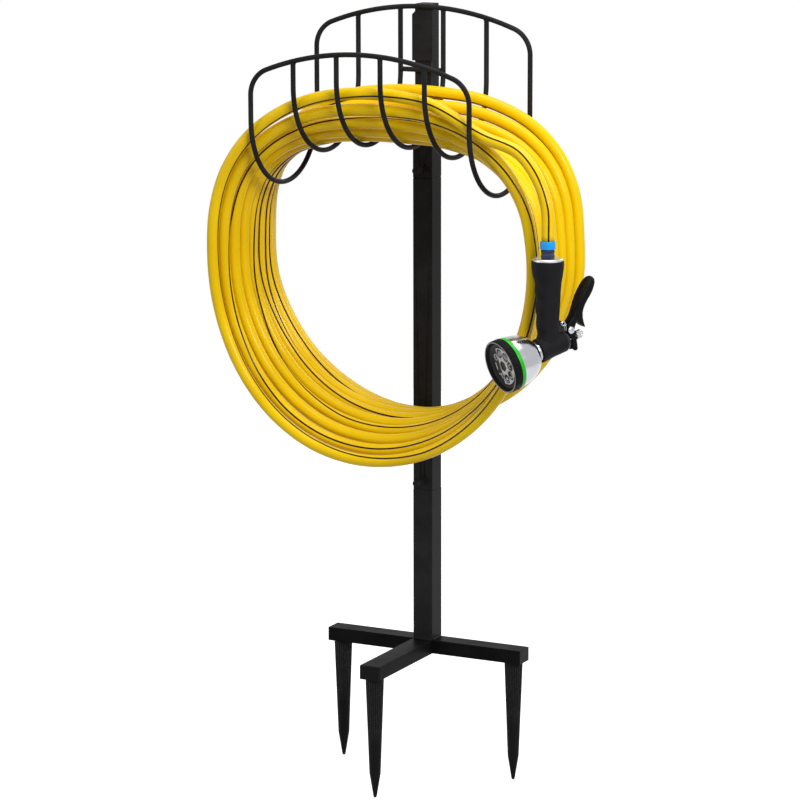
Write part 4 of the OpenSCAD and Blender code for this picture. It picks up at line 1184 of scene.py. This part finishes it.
def make_spring():
    """A close helix of four turns of 0.9 mm wire, and a straight leg from each end."""
    a = np.linspace(0, FULL_TURN * SPRING_TURNS, 150)
    coil = SPRING_AT + np.stack([SPRING_PITCH * a / FULL_TURN, SPRING_R * np.cos(a),
                                 SPRING_R * np.sin(a)], axis=1)
    leg = np.linspace(1, 0, 8)[:-1, None]
    line = np.vstack([coil[0] + leg * [0, 0.3, -9.0], coil, coil[-1] + leg[::-1] * [0, 0.6, -9.5]])
    along = unit(np.gradient(line, axis=0))
    side = unit(np.cross(along, [1.0, 0.0, 0.0]))
    rings = tube_rings(line, side, np.cross(along, side), SPRING_WIRE_R, 10)
    closed_rings("trigger_spring", at_handle(rings), CHROME, "hose", "chrome_metal", sharp=60)


def knob_ribs(radius, angle, height):
    belt = ramp(height + 53.2, 0.5) * ramp(-46.6 - height, 0.5) * (radius > 4.5)
    return radius - KNOB_RIB_DEPTH * belt * waves(KNOB_RIBS, angle) ** 1.5


def make_knob():
    back, front = KNOB_BACK, KNOB_FRONT
    loop = np.vstack([[(2.9, front - 0.2), (2.9, back + 0.1), (3.3, back), (5.2, back), (5.8, back + 0.2)],
                      straight(KNOB_R, back + 0.6, front - 0.6, 16),
                      [(5.8, front - 0.2), (5.2, front), (3.3, front)]])
    band("flow_knob", loop[::-1], KNOB_RIBS * 12, CHROME, "adjuster", "chrome_metal", "flow_adjuster",
         ribs=knob_ribs, sharp=50)


make_rivets()
make_spring()
make_knob()

ON_HOSE = [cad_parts[name] for name in (
    "tap_ferrule", "tap_nut", "nozzle_core", "gland_nut", "valve_stem", "trigger_pin")]
ON_HOSE += [bpy.data.objects[name] for name in (
    "blue_ring", "ribbed_nut", "rubber_grip", "neck_collar_ring", "chrome_bell", "green_band", "dial_bezel",
    "dial_lip_painted_highlight", "spray_plate", "trigger_lever", "rivet_head_near", "rivet_head_far", "trigger_spring",
    "flow_knob")]
print("hose declared with", len(ON_HOSE), "pieces on it")

# %% [markdown]
# ## Floor and light
# The photograph has a plain white ground. The stand's spikes would be in soil, so the
# floor lies just under their tips. Rays from the camera, mirrors and glass see white
# beyond it and an added glow on it, so its shadow still shows.

# %% Floor, lights and world
FLOOR_Z, FLOOR_HALF = -0.1755, 2.6
WHITE = (1, 1, 1, 1)


def by_ray(tree, plain, white, output):
    """plain lights the scene, and white is what camera, glossy and transmission rays see."""
    rays, seen = add(tree, "LightPath").outputs, 0.0
    for kind in ("Camera", "Glossy", "Transmission"):
        seen = maths(tree, "MAXIMUM", seen, rays[f"Is {kind} Ray"])
    mix = add(tree, "MixShader", {0: seen, 1: plain, 2: white}).outputs["Shader"]
    feed(tree.nodes[output], {"Surface": mix})


def make_floor():
    mesh = bpy.data.meshes.new("floor")
    r, z = FLOOR_HALF, FLOOR_Z
    mesh.from_pydata([(-r, -r, z), (r, -r, z), (r, r, z), (-r, r, z)], [], [(0, 1, 2, 3)])
    material, tree, shader = finish("pale_floor", (0.4, 0.4, 0.4), 0.9)
    plain = shader.outputs["BSDF"]
    glow = add(tree, "Emission", {"Color": WHITE, "Strength": 0.9}).outputs["Emission"]
    by_ray(tree, plain, add(tree, "AddShader", {0: plain, 1: glow}).outputs["Shader"], "Material Output")
    mesh.materials.append(material)
    in_scene("floor", mesh)


def make_world():
    world = bpy.data.worlds.new("studio")
    bpy.context.scene.world = world
    world.use_nodes = True
    tree = world.node_tree
    sky = tree.nodes["Background"]
    feed(sky, {"Color": (0.9, 0.95, 1.0, 1), "Strength": 0.20})
    white = add(tree, "Background", {"Color": WHITE, "Strength": 1.0}).outputs["Background"]
    by_ray(tree, sky.outputs["Background"], white, "World Output")


def area_light(name, place, aim_z, size, power):
    """A square lamp that looks at the height aim_z on the Z axis."""
    back = unit(np.subtract(place, (0, 0, aim_z)))
    right = unit(np.cross([0, 0, 1], back))
    data = set_all(bpy.data.lights.new(name, "AREA"), shape="RECTANGLE", size=size, size_y=size, energy=power)
    stand_at(in_scene(name, data), right, np.cross(back, right), back, place)
    print("lamp", name, "at", place, "watts", power)


make_floor()
make_world()
area_light("key", (3.0, -2.2, 2.6), 0.5, 1.6, 142)
area_light("top", (0.3, -0.2, 3.4), 0.4, 2.4, 75)
area_light("fill", (-3.0, -2.6, 1.4), 0.4, 2.2, 34)
area_light("back", (0.8, 3.4, 1.8), 0.4, 2.0, 26)
bpy.context.scene.view_settings.view_transform = "Standard"
